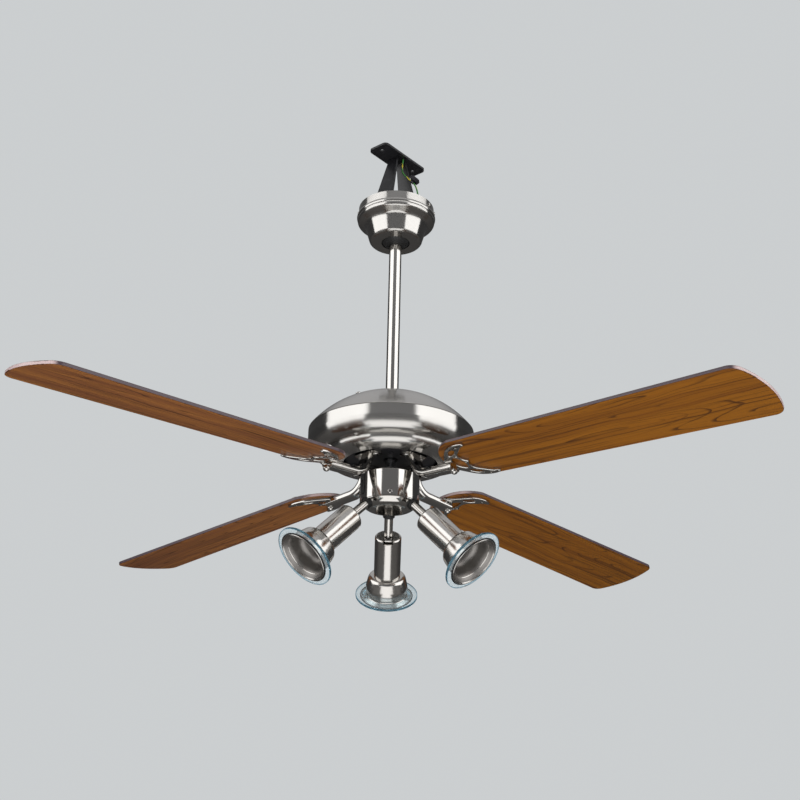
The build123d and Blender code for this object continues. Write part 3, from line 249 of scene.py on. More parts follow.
class FanMetalSettings(bpy.types.PropertyGroup):
    """Nickel, steel and enamel finishes."""

    satin_colour: bpy.props.FloatVectorProperty(
        name="Satin nickel", description="Spun housings and canopy", subtype="COLOR",
        default=(0.60, 0.585, 0.56),
    )
    bright_colour: bpy.props.FloatVectorProperty(
        name="Bright nickel", description="Irons, lamps and downrod", subtype="COLOR",
        default=(0.63, 0.61, 0.58),
    )
    satin_roughness: bpy.props.FloatProperty(
        name="Satin roughness", description="Blur of the spun housings", subtype="FACTOR", default=0.2
    )
    spun: bpy.props.FloatProperty(
        name="Spun grain", description="How far the brush lines stretch a highlight", subtype="FACTOR",
        default=0.93,
    )
    bright_roughness: bpy.props.FloatProperty(
        name="Bright roughness", description="Blur of the plated pieces", subtype="FACTOR", default=0.1
    )
    spot_roughness: bpy.props.FloatProperty(
        name="Spotlight roughness", description="Blur of the spotlights", subtype="FACTOR", default=0.2
    )
    # The reflector's satin metal, darkened partly as painted shade inside the bell.
    reflector_colour: bpy.props.FloatVectorProperty(
        name="Reflector", description="Inside of the spotlights", subtype="COLOR",
        default=(0.31, 0.295, 0.28),
    )
    brush_lines: bpy.props.FloatProperty(
        name="Brush lines", description="Brush lines in a metre of metal", default=2600.0
    )
    enamel_colour: bpy.props.FloatVectorProperty(
        name="Black enamel", description="Hanger, rotor and switch plate", subtype="COLOR",
        default=(0.012, 0.012, 0.014),
    )


class FanTimberSettings(bpy.types.PropertyGroup):
    """Walnut laminate of the blades."""

    ground_colour: bpy.props.FloatVectorProperty(
        name="Ground", description="Golden brown between the grain", subtype="COLOR",
        default=(0.27, 0.097, 0.008),
    )
    shade_colour: bpy.props.FloatVectorProperty(
        name="Shade", description="Broad darker streaks", subtype="COLOR", default=(0.185, 0.061, 0.007)
    )
    grain_colour: bpy.props.FloatVectorProperty(
        name="Grain", description="Dark grain lines", subtype="COLOR", default=(0.050, 0.017, 0.005)
    )
    edge_colour: bpy.props.FloatVectorProperty(
        name="Edge", description="Band along the sides", subtype="COLOR", default=(0.085, 0.058, 0.070)
    )
    # Pale pink painted highlight on the end face round each blade's tip.
    tip_highlight_colour: bpy.props.FloatVectorProperty(
        name="Tip", description="Band round the tip", subtype="COLOR", default=(0.66, 0.50, 0.49)
    )
    grain_lines: bpy.props.FloatProperty(
        name="Grain lines", description="Contours of the wavy grain", default=22.0
    )


class FanHardwareSettings(bpy.types.PropertyGroup):
    """Screws, earth wire and lamp sockets."""

    small_screw: bpy.props.FloatVectorProperty(
        name="Small screw", description="Radius and height of a small screw's head, and radius of its shank",
        unit="LENGTH", size=3, default=(0.0036, 0.0022, 0.002),
    )
    iron_screw: bpy.props.FloatVectorProperty(
        name="Iron screw", description="Radius and height of an iron screw's head, and radius of its shank",
        unit="LENGTH", size=3, default=(0.0046, 0.0032, 0.0024),
    )
    blade_screw: bpy.props.FloatVectorProperty(
        name="Blade screw", description="Radius and height of a blade screw's head, and radius of its shank",
        unit="LENGTH", size=3, default=(0.005, 0.0026, 0.0023),
    )
    washer: bpy.props.FloatProperty(
        name="Washer", description="Radius of a blade screw's washer", unit="LENGTH", default=0.007
    )
    washer_height: bpy.props.FloatProperty(
        name="Washer height", description="Thickness of a blade screw's washer", unit="LENGTH",
        default=0.0012,
    )
    dome_middle: bpy.props.FloatProperty(
        name="Dome middle", description="Height of the upper housing's sphere", unit="LENGTH",
        default=-0.6255,
    )
    wire_radius: bpy.props.FloatProperty(
        name="Wire radius", description="Radius of the earth wire", unit="LENGTH", default=0.0013
    )
    wire_length: bpy.props.FloatProperty(
        name="Wire length", description="Length of the earth wire", unit="LENGTH", default=0.131
    )
    socket_radius: bpy.props.FloatProperty(
        name="Socket radius", description="Bore of a lamp holder", unit="LENGTH", default=0.008
    )
    socket_depth: bpy.props.FloatProperty(
        name="Socket depth", description="Depth of a lamp holder's bore", unit="LENGTH", default=0.018
    )


class FanSpotSettings(bpy.types.PropertyGroup):
    """Bell, reflector and glass flange of a spotlight."""

    wall: bpy.props.FloatProperty(
        name="Wall", description="Sheet of the bell", unit="LENGTH", default=0.0012
    )
    shoulder: bpy.props.FloatProperty(
        name="Shoulder", description="Radius of the bell's shoulder", unit="LENGTH", default=0.0295
    )
    bulge: bpy.props.FloatProperty(
        name="Bulge", description="Widest radius of the bell", unit="LENGTH", default=0.0343
    )
    bulge_reach: bpy.props.FloatProperty(
        name="Bulge reach", description="From the bell's neck to its widest place", unit="LENGTH",
        default=0.020,
    )
    waist: bpy.props.FloatProperty(
        name="Waist", description="Radius behind the flared mouth", unit="LENGTH", default=0.0334
    )
    flare_depth: bpy.props.FloatProperty(
        name="Flare depth", description="Waist behind the glass's front", unit="LENGTH", default=0.0045
    )
    lip: bpy.props.FloatProperty(
        name="Lip", description="Radius of the flared mouth", unit="LENGTH", default=0.0406
    )
    lip_rise: bpy.props.FloatProperty(
        name="Lip rise", description="Lip ahead of the glass's front", unit="LENGTH", default=0.0012
    )
    lip_bead: bpy.props.FloatProperty(
        name="Lip bead", description="Radius of the rolled edge", unit="LENGTH", default=0.0011
    )
    border: bpy.props.FloatProperty(
        name="Border", description="Bright lip left outside the reflector", unit="LENGTH", default=0.0020
    )
    base: bpy.props.FloatProperty(
        name="Base", description="Radius of the reflector's base", unit="LENGTH", default=0.0295
    )
    base_rise: bpy.props.FloatProperty(
        name="Base rise", description="Slope of the reflector's base", unit="LENGTH", default=0.005
    )
    reflector_wall: bpy.props.FloatProperty(
        name="Reflector wall", description="Sheet of the reflector", unit="LENGTH", default=0.0008
    )


class FanGlassSettings(bpy.types.PropertyGroup):
    """Rings of float glass round the spotlights."""

    face_colour: bpy.props.FloatVectorProperty(
        name="Face", description="Tint through the ring's face", subtype="COLOR", default=(0.86, 0.94, 0.97)
    )
    edge_colour: bpy.props.FloatVectorProperty(
        name="Edge", description="Tint at the ring's cut edges", subtype="COLOR", default=(0.12, 0.30, 0.42)
    )


class FanStageSettings(bpy.types.PropertyGroup):
    """Studio and camera."""

    ground_colour: bpy.props.FloatVectorProperty(
        name="Background", description="Pale background", subtype="COLOR", default=(0.60, 0.62, 0.63)
    )
    floor_drop: bpy.props.FloatProperty(
        name="Floor drop", description="Floor below the ceiling plate", unit="LENGTH", default=1.9
    )
    softbox_radiance: bpy.props.FloatProperty(
        name="Softbox", description="Brightness of the side softboxes", default=1.75
    )
    fill_radiance: bpy.props.FloatProperty(
        name="Floor lamps", description="Brightness of the lamps near the floor", default=1.35
    )
    camera_place: bpy.props.FloatVectorProperty(
        name="Camera", description="Where the camera stands", unit="LENGTH",
        default=(-0.02019, -1.90886, -1.26807),
    )
    camera_yaw: bpy.props.FloatProperty(
        name="Yaw", description="Camera to the right of +Y", unit="ROTATION", default=0.0175
    )
    camera_pitch: bpy.props.FloatProperty(
        name="Pitch", description="Camera above level", unit="ROTATION", default=0.3997
    )
    camera_roll: bpy.props.FloatProperty(
        name="Roll", description="Camera about its own line of sight", unit="ROTATION", default=0.02085
    )
    camera_lens: bpy.props.FloatProperty(
        name="Lens", description="Focal length in millimetres", default=57.28
    )


def dress(names, finish):
    """Gives CAD nodes a finish."""
    for name in names:
        NODES[name].data.materials.clear()
        NODES[name].data.materials.append(finish.material)


def add_piece(name, shape, finishes, body, crease=35.0):
    """A new piece of the fan from a finished shape."""
    bmesh.ops.remove_doubles(shape, verts=shape.verts, dist=1e-6)
    bmesh.ops.recalc_face_normals(shape, faces=shape.faces)
    mesh = bpy.data.meshes.new(name)
    shape.to_mesh(mesh)
    shape.free()
    mesh.shade_smooth()
    mesh.set_sharp_from_angle(angle=math.radians(crease))
    for finish in finishes:
        mesh.materials.append(finish.material)
    piece = bpy.data.objects.new(name, mesh)
    bpy.context.scene.collection.objects.link(piece)
    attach(piece, body)
    return piece


def turn_profile(shape, profile, steps, closed=False):
    """Turns a profile of (radius, height) points about the z axis."""
    verts = [shape.verts.new((radius, 0.0, height)) for radius, height in profile]
    pairs = list(zip(verts, verts[1:]))
    if closed:
        pairs.append((verts[-1], verts[0]))
    edges = [shape.edges.new(pair) for pair in pairs]
    bmesh.ops.spin(
        shape, geom=verts + edges, cent=(0, 0, 0), axis=(0, 0, 1), angle=math.tau, steps=steps,
        use_merge=True,
    )
    bmesh.ops.remove_doubles(shape, verts=shape.verts, dist=1e-7)


def add_turned(name, profiles, turn, finish, body, steps=SPIN_STEPS, crease=35.0):
    """A new piece from closed profiles turned about the z axis of a frame."""
    shape = bmesh.new()
    for profile in profiles:
        turn_profile(shape, profile, steps, closed=True)
    bmesh.ops.transform(shape, matrix=turn, verts=shape.verts)
    return add_piece(name, shape, [finish], body, crease)


def rounded(points, radii, steps=8):
    """A line of (radius, height) points with its inner corners rounded."""
    line = [Vector(points[0])]
    for before, corner, after, radius in zip(points, points[1:], points[2:], radii):
        into = (Vector(corner) - Vector(before)).normalized()
        away = (Vector(after) - Vector(corner)).normalized()
        turn = math.atan2(into.x * away.y - into.y * away.x, into.dot(away))
        start = Vector(corner) - into * radius * math.tan(abs(turn) / 2)
        centre = start + Vector((-into.y, into.x)) * math.copysign(radius, turn)
        for step in range(steps + 1):
            line.append(centre + Matrix.Rotation(turn * step / steps, 2) @ (start - centre))
    line.append(Vector(points[-1]))
    return line


def walled(line, wall):
    """A closed profile: a line and a wall on its left."""
    inner = []
    for index, point in enumerate(line):
        way = (line[min(index + 1, len(line) - 1)] - line[max(index - 1, 0)]).normalized()
        inner.append(point + Vector((-way.y, way.x)) * wall)
    return [*line, *reversed(inner)]


def ring_profile(radius, height, thick, step=30):
    """A small circle to turn into a ring."""
    turns = [math.radians(degrees) for degrees in range(0, 360, step)]
    return [(radius + thick * math.cos(turn), height + thick * math.sin(turn)) for turn in turns]


def copies(pattern, places):
    """One shape with a copy of a pattern at each place."""
    mesh = bpy.data.meshes.new("pattern")
    pattern.to_mesh(mesh)
    pattern.free()
    shape = bmesh.new()
    for place in places:
        start = len(shape.verts)
        shape.from_mesh(mesh)
        shape.verts.ensure_lookup_table()
        bmesh.ops.transform(shape, matrix=place, verts=shape.verts[start:])
    bpy.data.meshes.remove(mesh)
    return shape


def screw_pattern(head, height, shank, length, washer=0.0, washer_height=0.0):
    """A pan-head screw with a cross recess, its head's seat at the origin and its shank down -z."""
    shape = bmesh.new()
    flat = head * SCREW_FLAT
    side = height * SCREW_SIDE
    profile = [(flat, height)]
    for degrees in range(15, 91, 15):
        turn = math.radians(degrees)
        profile.append((flat + (head - flat) * math.sin(turn), side + (height - side) * math.cos(turn)))
    profile.append((head, 0.0))
    if washer:
        chamfer = washer_height * WASHER_CHAMFER
        profile += [(washer - chamfer, 0.0), (washer, -chamfer), (washer, -washer_height)]
    profile += [(shank, -washer_height), (shank, shank - length), (0.0, -length)]
    turn_profile(shape, profile, 32)
    rim = [edge for edge in shape.edges if edge.is_boundary]
    arm = head * RECESS_ARM
    half = head * RECESS_HALF
    corners = []
    for quarter in range(4):
        turn = Matrix.Rotation(math.radians(90 * quarter), 3, "Z")
        corners += [turn @ Vector(place) for place in ((arm, -half, 0), (arm, half, 0), (half, half, 0))]
    upper = [shape.verts.new((x, y, height)) for x, y, z in corners]
    floor = height - head * RECESS_DEPTH
    lower = [shape.verts.new((x * RECESS_TAPER, y * RECESS_TAPER, floor)) for x, y, z in corners]
    ring = list(zip(upper, upper[1:] + upper[:1], lower[1:] + lower[:1], lower))
    mouth = [shape.edges.new((first, second)) for first, second, third, fourth in ring]
    bmesh.ops.triangle_fill(shape, use_beauty=True, edges=rim + mouth, normal=(0, 0, 1))
    # The recess walls and floor take the second finish, which paints shade into the recess.
    for face in [shape.faces.new(corner) for corner in ring] + [shape.faces.new(lower)]:
        face.material_index = 1
    return shape


def solids(node):
    """The points of each separate solid of a CAD node, in order round the fan's axis."""
    shape = bmesh.new()
    shape.from_mesh(NODES[node].data)
    bmesh.ops.remove_doubles(shape, verts=shape.verts, dist=1e-6)
    left = set(shape.verts)
    groups = []
    while left:
        front = [left.pop()]
        group = []
        while front:
            vert = front.pop()
            group.append(vert.co.copy())
            beside = [edge.other_vert(vert) for edge in vert.link_edges]
            front += [other for other in beside if other in left]
            left.difference_update(beside)
        groups.append(group)
    shape.free()
    return sorted(groups, key=lambda group: (math.atan2(middle(group).y, middle(group).x), middle(group).z))


def middle(points):
    return sum(points, Vector()) / len(points)


def screw_places(node, axis_at, head_height):
    """The seat of each screw of a CAD node, with z out of its head, and the length of its shank."""
    places = []
    for points in solids(node):
        centre = middle(points)
        axis = axis_at(centre)
        heights = [point.dot(axis) for point in points]
        seat = max(heights) - head_height
        place = axis.to_track_quat("Z", "Y").to_matrix().to_4x4()
        place.translation = centre + axis * (seat - centre.dot(axis))
        places.append((place, seat - min(heights)))
    return places


def outward(centre):
    return Vector((centre.x, centre.y, 0)).normalized()


def downward(centre):
    return Vector((0, 0, -1))


def upward_of(node):
    """The normal of a flat CAD node's upper face."""
    total = Vector()
    for face in NODES[node].data.polygons:
        if face.normal.z > 0.9:
            total += face.normal * face.area
    return total.normalized()


def span(node, turn):
    """Lowest and highest corner of a CAD node in a frame of its own."""
    away = turn.inverted()
    points = [away @ vertex.co for vertex in NODES[node].data.vertices]
    low = Vector([min(point[axis] for point in points) for axis in range(3)])
    high = Vector([max(point[axis] for point in points) for axis in range(3)])
    return low, high


def fit_screws(node, axis_at, body, sizes, finishes):
    """Puts recessed screws in place of a CAD node's plain ones."""
    places = screw_places(node, axis_at, sizes[1])
    pattern = screw_pattern(*sizes[:3], max(length for place, length in places), *sizes[3:])
    shape = copies(pattern, [place for place, length in places])
    piece = add_piece(f"{node}_recessed", shape, finishes, body)
    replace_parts(piece, node)


def polar_places(count, first, radius, height, facing):
    """Places round the fan's axis, each with its z along facing."""
    places = []
    for step in range(count):
        turn = Matrix.Rotation(math.radians(first + 360 / count * step), 4, "Z")
        spot = turn @ Vector((radius, 0, height))
        places.append(Matrix.Translation(spot) @ facing.to_track_quat("Z", "Y").to_matrix().to_4x4())
    return places


def blade_azimuth(index):
    return math.radians(FIRST_BLADE + 360 / BLADE_COUNT * (index - 1))


def spot_frame(index):
    """A spotlight's own frame: origin at its stem's root, x along its tilt pin and z along its axis."""
    swivel = JOINTS[f"stem_swivel_{index}"]
    pin = JOINTS[f"head_tilt_{index}"]
    z = Vector(swivel["axis"]).normalized()
    x = Vector(pin["axis"]).normalized()
    turn = Matrix((x, z.cross(x), z)).transposed().to_4x4()
    turn.translation = Vector(swivel["pos_m"])
    return turn


def shaded(colour, share=1.0):
    """A colour for a node, made darker or lighter."""
    return (*[value * share for value in colour], 1)


def brushed_metal(name, colour, roughness, lines, turn=None, wear=0.06, spun=0.0):
    """Plated metal with fine brush lines round its axis and faint handling marks."""
    finish = Finish(name, metallic=1.0, anisotropic=spun, anisotropic_rotation=0.25)
    place = finish.place(turn)
    x, y, z = finish.parts(place)
    radius = (x * x + y * y) ** 0.5 + 1e-5
    around = finish.vector(x / radius, y / radius, (z + radius) * lines)
    brush = finish.noise(around, 1.0, detail=1.0)
    broad = finish.noise(place, 22.0, detail=3.0)
    marks = finish.noise(place, 140.0, detail=4.0, roughness=0.65)
    tone = finish.mix(brush.ramp(0.3, 0.7) * 0.35 + broad * 0.3, shaded(colour, 0.90), shaded(colour))
    finish.set("Base Color", finish.mix(marks.ramp(0.62, 0.8) * 0.25, tone, shaded(colour, 0.80)))
    blur = roughness + (brush - 0.5) * 0.10 + (broad - 0.5) * wear
    finish.set("Roughness", blur + marks.ramp(0.6, 0.8) * 0.05)
    finish.bump(brush, 0.10, 0.00004)
    return finish


def black_enamel(name, colour, roughness=0.34):
    """Baked enamel with slight orange peel and dusty patches."""
    finish = Finish(name, specular_ior_level=0.5)
    place = finish.place()
    peel = finish.noise(place, 900.0, detail=2.0)
    dust = finish.noise(place, 60.0, detail=5.0, roughness=0.7)
    finish.set("Base Color", finish.mix(dust.ramp(0.5, 0.75) * 0.6, shaded(colour), shaded(colour, 3.2)))
    finish.set("Roughness", roughness + (dust - 0.5) * 0.22)
    finish.bump(peel, 0.16, 0.0001)
    return finish


def moulded(name, colour, roughness=0.45):
    """Moulded plastic or rubber with a fine spark-eroded grain."""
    finish = Finish(name)
    place = finish.place()
    grain = finish.noise(place, 1800.0, detail=2.0)
    cloud = finish.noise(place, 90.0, detail=3.0)
    finish.set("Base Color", finish.mix(cloud, shaded(colour, 0.8), shaded(colour, 1.2)))
    finish.set("Roughness", roughness + (cloud - 0.5) * 0.15)
    finish.bump(grain, 0.2, 0.0001)
    return finish


def walnut(name, settings, index):
    """Walnut veneer: wavy grain along the blade, broad streaks, fine pores, lacquer and an edge band whose
    pale tip is a painted highlight.
    """
    finish = Finish(name, coat_roughness=0.2, specular_ior_level=0.18)
    turn = blade_azimuth(index)
    along, across = finish.parts(finish.place(Matrix.Rotation(turn, 4, "Z")))[:2]
    shift = 3.7 * index

    def drawn(lengthwise, crosswise, detail, roughness=0.5):
        """Noise drawn out along the blade."""
        spread = finish.vector(along * lengthwise + shift, crosswise, 0.0)
        return finish.noise(spread, 1.0, detail, roughness)

    drift = drawn(6.0, across * 9.0, 2.0)
    wavy = across + (drift - 0.5) * 0.022
    figure = drawn(1.7, wavy * 17.0, 1.0, 0.35)
    ring = finish.node("ShaderNodeMath", {"operation": "FRACT"}, {0: figure * settings.grain_lines})
    line = ring.ramp(0.76, 0.95) * (1 - ring.ramp(0.96, 1.0))
    thread = drawn(3.0, wavy * 240.0, 2.0, 0.55)
    fibre = drawn(11.0, wavy * 800.0, 2.0, 0.6)
    pores = drawn(70.0, across * 1500.0, 1.0)
    streak = drawn(1.3, wavy * 42.0, 3.0)
    broken = drawn(5.0, across * 60.0, 2.0)
    # Painted light: this blade's side-dependent share of the ground and shade colours.
    painted_light_shares = BLADE_PAINTED_LIGHT[index - 1]
    pale = shaded([share * value for share, value in zip(painted_light_shares, settings.ground_colour)])
    shade = shaded([share * value for share, value in zip(painted_light_shares, settings.shade_colour)])
    dark = shaded(settings.grain_colour)
    ground = finish.mix(streak.ramp(0.36, 0.66), pale, shade)
    ground = finish.mix(fibre.ramp(0.35, 0.75) * 0.35, ground, shade)
    grained = finish.mix(line * broken.ramp(0.40, 0.60) * 0.85, ground, dark)
    grained = finish.mix(thread.ramp(0.51, 0.67) * 0.7, grained, dark)
    grained = finish.mix(pores.ramp(0.62, 0.72) * 0.35, grained, dark)
    right, ahead, facing = finish.parts(finish.node("ShaderNodeTexCoord", output=1))
    # Painted highlight: the end face round each blade's tip takes a pale colour, standing in for light
    # caught on it.
    tip = abs(right * math.cos(turn) + ahead * math.sin(turn)).ramp(0.45, 0.8)
    band = finish.mix(tip, shaded(settings.edge_colour), shaded(settings.tip_highlight_colour))
    edge = 1 - abs(facing).ramp(0.35, 0.6)
    corner = edge - (1 - abs(facing).ramp(0.75, 0.98))
    back = finish.mix(facing.ramp(0.5, 0.9) * (1 - BLADE_BACK), grained, BLADE_BACK_COLOUR)
    banded = finish.mix(abs(corner) * 0.75, back, dark)
    finish.set("Base Color", finish.mix(edge, banded, band))
    finish.set("Roughness", 0.36 + (fibre - 0.5) * 0.16 + line * 0.06)
    finish.set("Coat Weight", 0.02 + streak * 0.05 + edge * 0.5)
    finish.bump(fibre * 0.5 + pores * 0.5 - line * 0.4, 0.10, 0.00015)
    return finish


def ring_glass(name, settings, turn, outer):
    """Clear ring, tinted deeper blue towards its cut edge."""
    finish = Finish(name, transmission_weight=0.82, ior=1.15)
    place = finish.place(turn)
    x, y = finish.parts(place)[:2]
    radius = (x * x + y * y) ** 0.5
    rim = radius.ramp(outer - 0.0016, outer - 0.0004)
    smear = finish.noise(place, 70.0, detail=3.0)
    finish.set("Base Color", finish.mix(rim, shaded(settings.face_colour), shaded(settings.edge_colour)))
    finish.set("Roughness", 0.02 + smear.ramp(0.5, 0.8) * 0.05)
    return finish


def recess_painted_shade(name):
    """Painted shade in the bottom of a screw's recess: dark metal, speckled with dust."""
    finish = Finish(name, metallic=1.0)
    dust = finish.noise(finish.place(), 1400.0, detail=3.0)
    finish.set("Base Color", finish.mix(dust, (0.05, 0.05, 0.05, 1), (0.16, 0.15, 0.14, 1)))
    finish.set("Roughness", 0.35 + dust * 0.3)
    return finish


def earth_sleeve(name):
    """Green insulation with a yellow stripe that winds round the wire."""
    finish = Finish(name)
    x, z = finish.parts(finish.place())[::2]
    wind = finish.node("ShaderNodeMath", {"operation": "SINE"}, {0: (x * 700.0 + z * 260.0)})
    grime_and_recess_shade = finish.noise(finish.place(), 160.0, detail=3.0)
    colour = finish.mix(wind.ramp(0.15, 0.4), (0.06, 0.26, 0.05, 1), (0.62, 0.52, 0.03, 1))
    finish.set("Base Color", finish.mix(grime_and_recess_shade.ramp(0.5, 0.8) * 0.3, colour, (0.05, 0.07, 0.03, 1)))
    finish.set("Roughness", 0.4 + grime_and_recess_shade * 0.15)
    return finish


class FAN_OT_dress_hanger(bpy.types.Operator):
    """Finishes the bracket, canopy, ball and earth wire"""

    bl_idname = "fan.dress_hanger"
    bl_label = "Dress hanger"

    def execute(self, context):
        metal = context.scene.fan_metal
        parts = context.scene.fan_hardware
        dress(["hanger_bracket"], black_enamel("bracket enamel", metal.enamel_colour))
        dress(["hanger_ball"], moulded("ball nylon", (0.02, 0.02, 0.02)))
        lines = metal.brush_lines
        satin = brushed_metal(
            "canopy nickel", metal.satin_colour, metal.satin_roughness, lines, spun=metal.spun
        )
        dress(["canopy"], satin)
        plate = brushed_metal("canopy screw plate", metal.bright_colour, 0.2, lines)
        sizes = tuple(parts.small_screw)
        # The screws' second finish paints shade into their recesses.
        fit_screws("canopy_screws", outward, "hanger", sizes, [plate, recess_painted_shade("canopy recess")])
        self.lay_wire(parts)
        return {"FINISHED"}

    def lay_wire(self, parts):
        """The earth wire from the ceiling plate to the ear plate, with a plug clipped on it."""
        line = bpy.data.curves.new("earth_lead", "CURVE")
        line.dimensions = "3D"
        spline = line.splines.new("NURBS")
        spline.points.add(len(WIRE_ROUTE) - 1)
        for point, place in zip(spline.points, WIRE_ROUTE):
            point.co = (*place, 1)
        spline.order_u = 3
        spline.use_endpoint_u = True
        spline.resolution_u = 12
        line.bevel_depth = parts.wire_radius
        line.bevel_resolution = 5
        line.use_fill_caps = True
        line.materials.append(earth_sleeve("earth sleeve").material)
        wire = bpy.data.objects.new("earth_lead", line)
        bpy.context.scene.collection.objects.link(wire)
        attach(wire, "hanger")
        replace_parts(wire, "earth_wire")
        plug = self.clip_plug()

    def clip_plug(self):
        """A black plug beside the wire, held by a clip round it."""
        before, after = Vector(WIRE_ROUTE[3]), Vector(WIRE_ROUTE[4])
        z = (after - before).normalized()
        x = (Vector((1, 0, 1)) - z * z.dot(Vector((1, 0, 1)))).normalized()
        turn = Matrix((x, z.cross(x), z)).transposed().to_4x4()
        turn.translation = (before + after) / 2
        shape = bmesh.new()
        turn_profile(shape, PLUG_CLIP, 32, closed=True)
        for centre, size in PLUG_BLOCKS:
            fresh = bmesh.ops.create_cube(shape, size=1.0)["verts"]
            bmesh.ops.scale(shape, vec=size, verts=fresh)
            bmesh.ops.translate(shape, vec=centre, verts=fresh)
            edges = {edge for vert in fresh for edge in vert.link_edges}
            bmesh.ops.bevel(
                shape, geom=list(edges), offset=PLUG_EDGE, offset_type="OFFSET", affect="EDGES", segments=2,
                profile=0.5, material=-1,
            )
        bmesh.ops.transform(shape, matrix=turn, verts=shape.verts)
        plastic = moulded("plug plastic", (0.014, 0.013, 0.018), 0.35)
        return add_piece("earth_plug", shape, [plastic], "hanger")


class FAN_OT_dress_drop(bpy.types.Operator):
    """Finishes the downrod, coupling, housings and switch housing"""

    bl_idname = "fan.dress_drop"
    bl_label = "Dress downrod and housings"

    def execute(self, context):
        metal = context.scene.fan_metal
        parts = context.scene.fan_hardware
        lines = metal.brush_lines
        satin = brushed_metal(
            "housing nickel", metal.satin_colour, metal.satin_roughness, lines, spun=metal.spun
        )
        bright = brushed_metal("bright nickel", metal.bright_colour, metal.bright_roughness, lines)
        dress(["upper_housing", "lower_housing", "housing_dish"], satin)
        dress(["downrod", "switch_housing", "light_pan"], bright)
        enamel = black_enamel("drop enamel", metal.enamel_colour)
        dress(["motor_yoke", "housing_spider", "switch_plate"], enamel)
        plate = brushed_metal("screw plate", metal.bright_colour, 0.16, FINE_BRUSH)
        # Second finish of the screws: painted shade for their recesses.
        grime_and_recess_shade = recess_painted_shade("screw recess")
        dress(["rod_pins"], plate)
        sizes = tuple(parts.small_screw)
        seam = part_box("upper_housing")[0].z

        def housing_axis(centre):
            dome = Vector((0, 0, parts.dome_middle))
            return (centre - dome).normalized() if centre.z > seam else Vector((0, 0, -1))

        fit_screws("housing_screws", housing_axis, "drop", sizes, [plate, grime_and_recess_shade])
        fit_screws("pan_screws", outward, "drop", sizes, [plate, grime_and_recess_shade])
        dress(["motor_shaft"], brushed_metal("ground steel", (0.42, 0.42, 0.43), 0.25, 1500.0))
        dress(["stator_core"], brushed_metal("core steel", (0.2, 0.2, 0.21), 0.4, 2000.0))
        dress(["stator_windings"], brushed_metal("copper wire", (0.55, 0.22, 0.09), 0.3, 1200.0))
        dress(["capacitor", "reverse_switch_body"], moulded("black plastic", (0.018, 0.018, 0.018)))
        dress(["reverse_switch_slider"], moulded("slider plastic", (0.03, 0.03, 0.03)))
        dress(["stem_gaskets"], moulded("gasket rubber", (0.012, 0.012, 0.012), 0.6))
        return {"FINISHED"}


class FAN_OT_dress_rotor(bpy.types.Operator):
    """Finishes the rotor, irons and their screws"""

    bl_idname = "fan.dress_rotor"
    bl_label = "Dress rotor"

    def execute(self, context):
        metal = context.scene.fan_metal
        parts = context.scene.fan_hardware
        enamel = black_enamel("rotor enamel", metal.enamel_colour, 0.4)
        dress(["rotor_upper_cover", "rotor_lower_cover"], enamel)
        dress(["rotor_core"], brushed_metal("rotor steel", (0.25, 0.25, 0.26), 0.4, 2000.0))
        dress(["motor_bearings"], brushed_metal("bearing steel", (0.5, 0.5, 0.5), 0.2, 1500.0))
        cast = brushed_metal("cast nickel", metal.bright_colour, metal.bright_roughness, 1800.0, wear=0.05)
        dress([f"blade_iron_{i}" for i in range(1, BLADE_COUNT + 1)], cast)
        plate = brushed_metal("iron screw plate", metal.bright_colour, 0.18, FINE_BRUSH)
        # Second finish of the screws: painted shade for their recesses.
        grime_and_recess_shade = recess_painted_shade("iron recess")
        fit_screws("iron_screws", downward, "rotor", tuple(parts.iron_screw), [plate, grime_and_recess_shade])
        washered = (*parts.blade_screw, parts.washer, parts.washer_height)
        fit_screws("blade_screws", self.blade_normal, "rotor", washered, [plate, grime_and_recess_shade])
        self.screw_cover(parts, enamel, grime_and_recess_shade)
        return {"FINISHED"}

    def blade_normal(self, centre):
        """The upper side's direction of the blade that a screw is in."""
        turn = math.degrees(math.atan2(centre.y, centre.x)) - FIRST_BLADE
        index = round(turn / (360 / BLADE_COUNT)) % BLADE_COUNT + 1
        return upward_of(f"blade_{index}")

    def screw_cover(self, parts, enamel, grime_and_recess_shade):
        """Two rings of dark screws under the rotor's lower cover."""
        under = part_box("blade_iron_1")[1].z
        facing = Vector((0, 0, -1))
        places = [place for ring in COVER_RINGS for place in polar_places(*ring, under, facing)]
        pattern = screw_pattern(*parts.small_screw, COVER_SHANK)
        # Their recesses take the painted shade finish.
        add_piece("cover_screws", copies(pattern, places), [enamel, grime_and_recess_shade], "rotor")


class FAN_OT_dress_blades(bpy.types.Operator):
    """Finishes the blades in walnut"""

    bl_idname = "fan.dress_blades"
    bl_label = "Dress blades"

    def execute(self, context):
        for index in range(1, BLADE_COUNT + 1):
            dress([f"blade_{index}"], walnut(f"walnut {index}", context.scene.fan_timber, index))
        return {"FINISHED"}


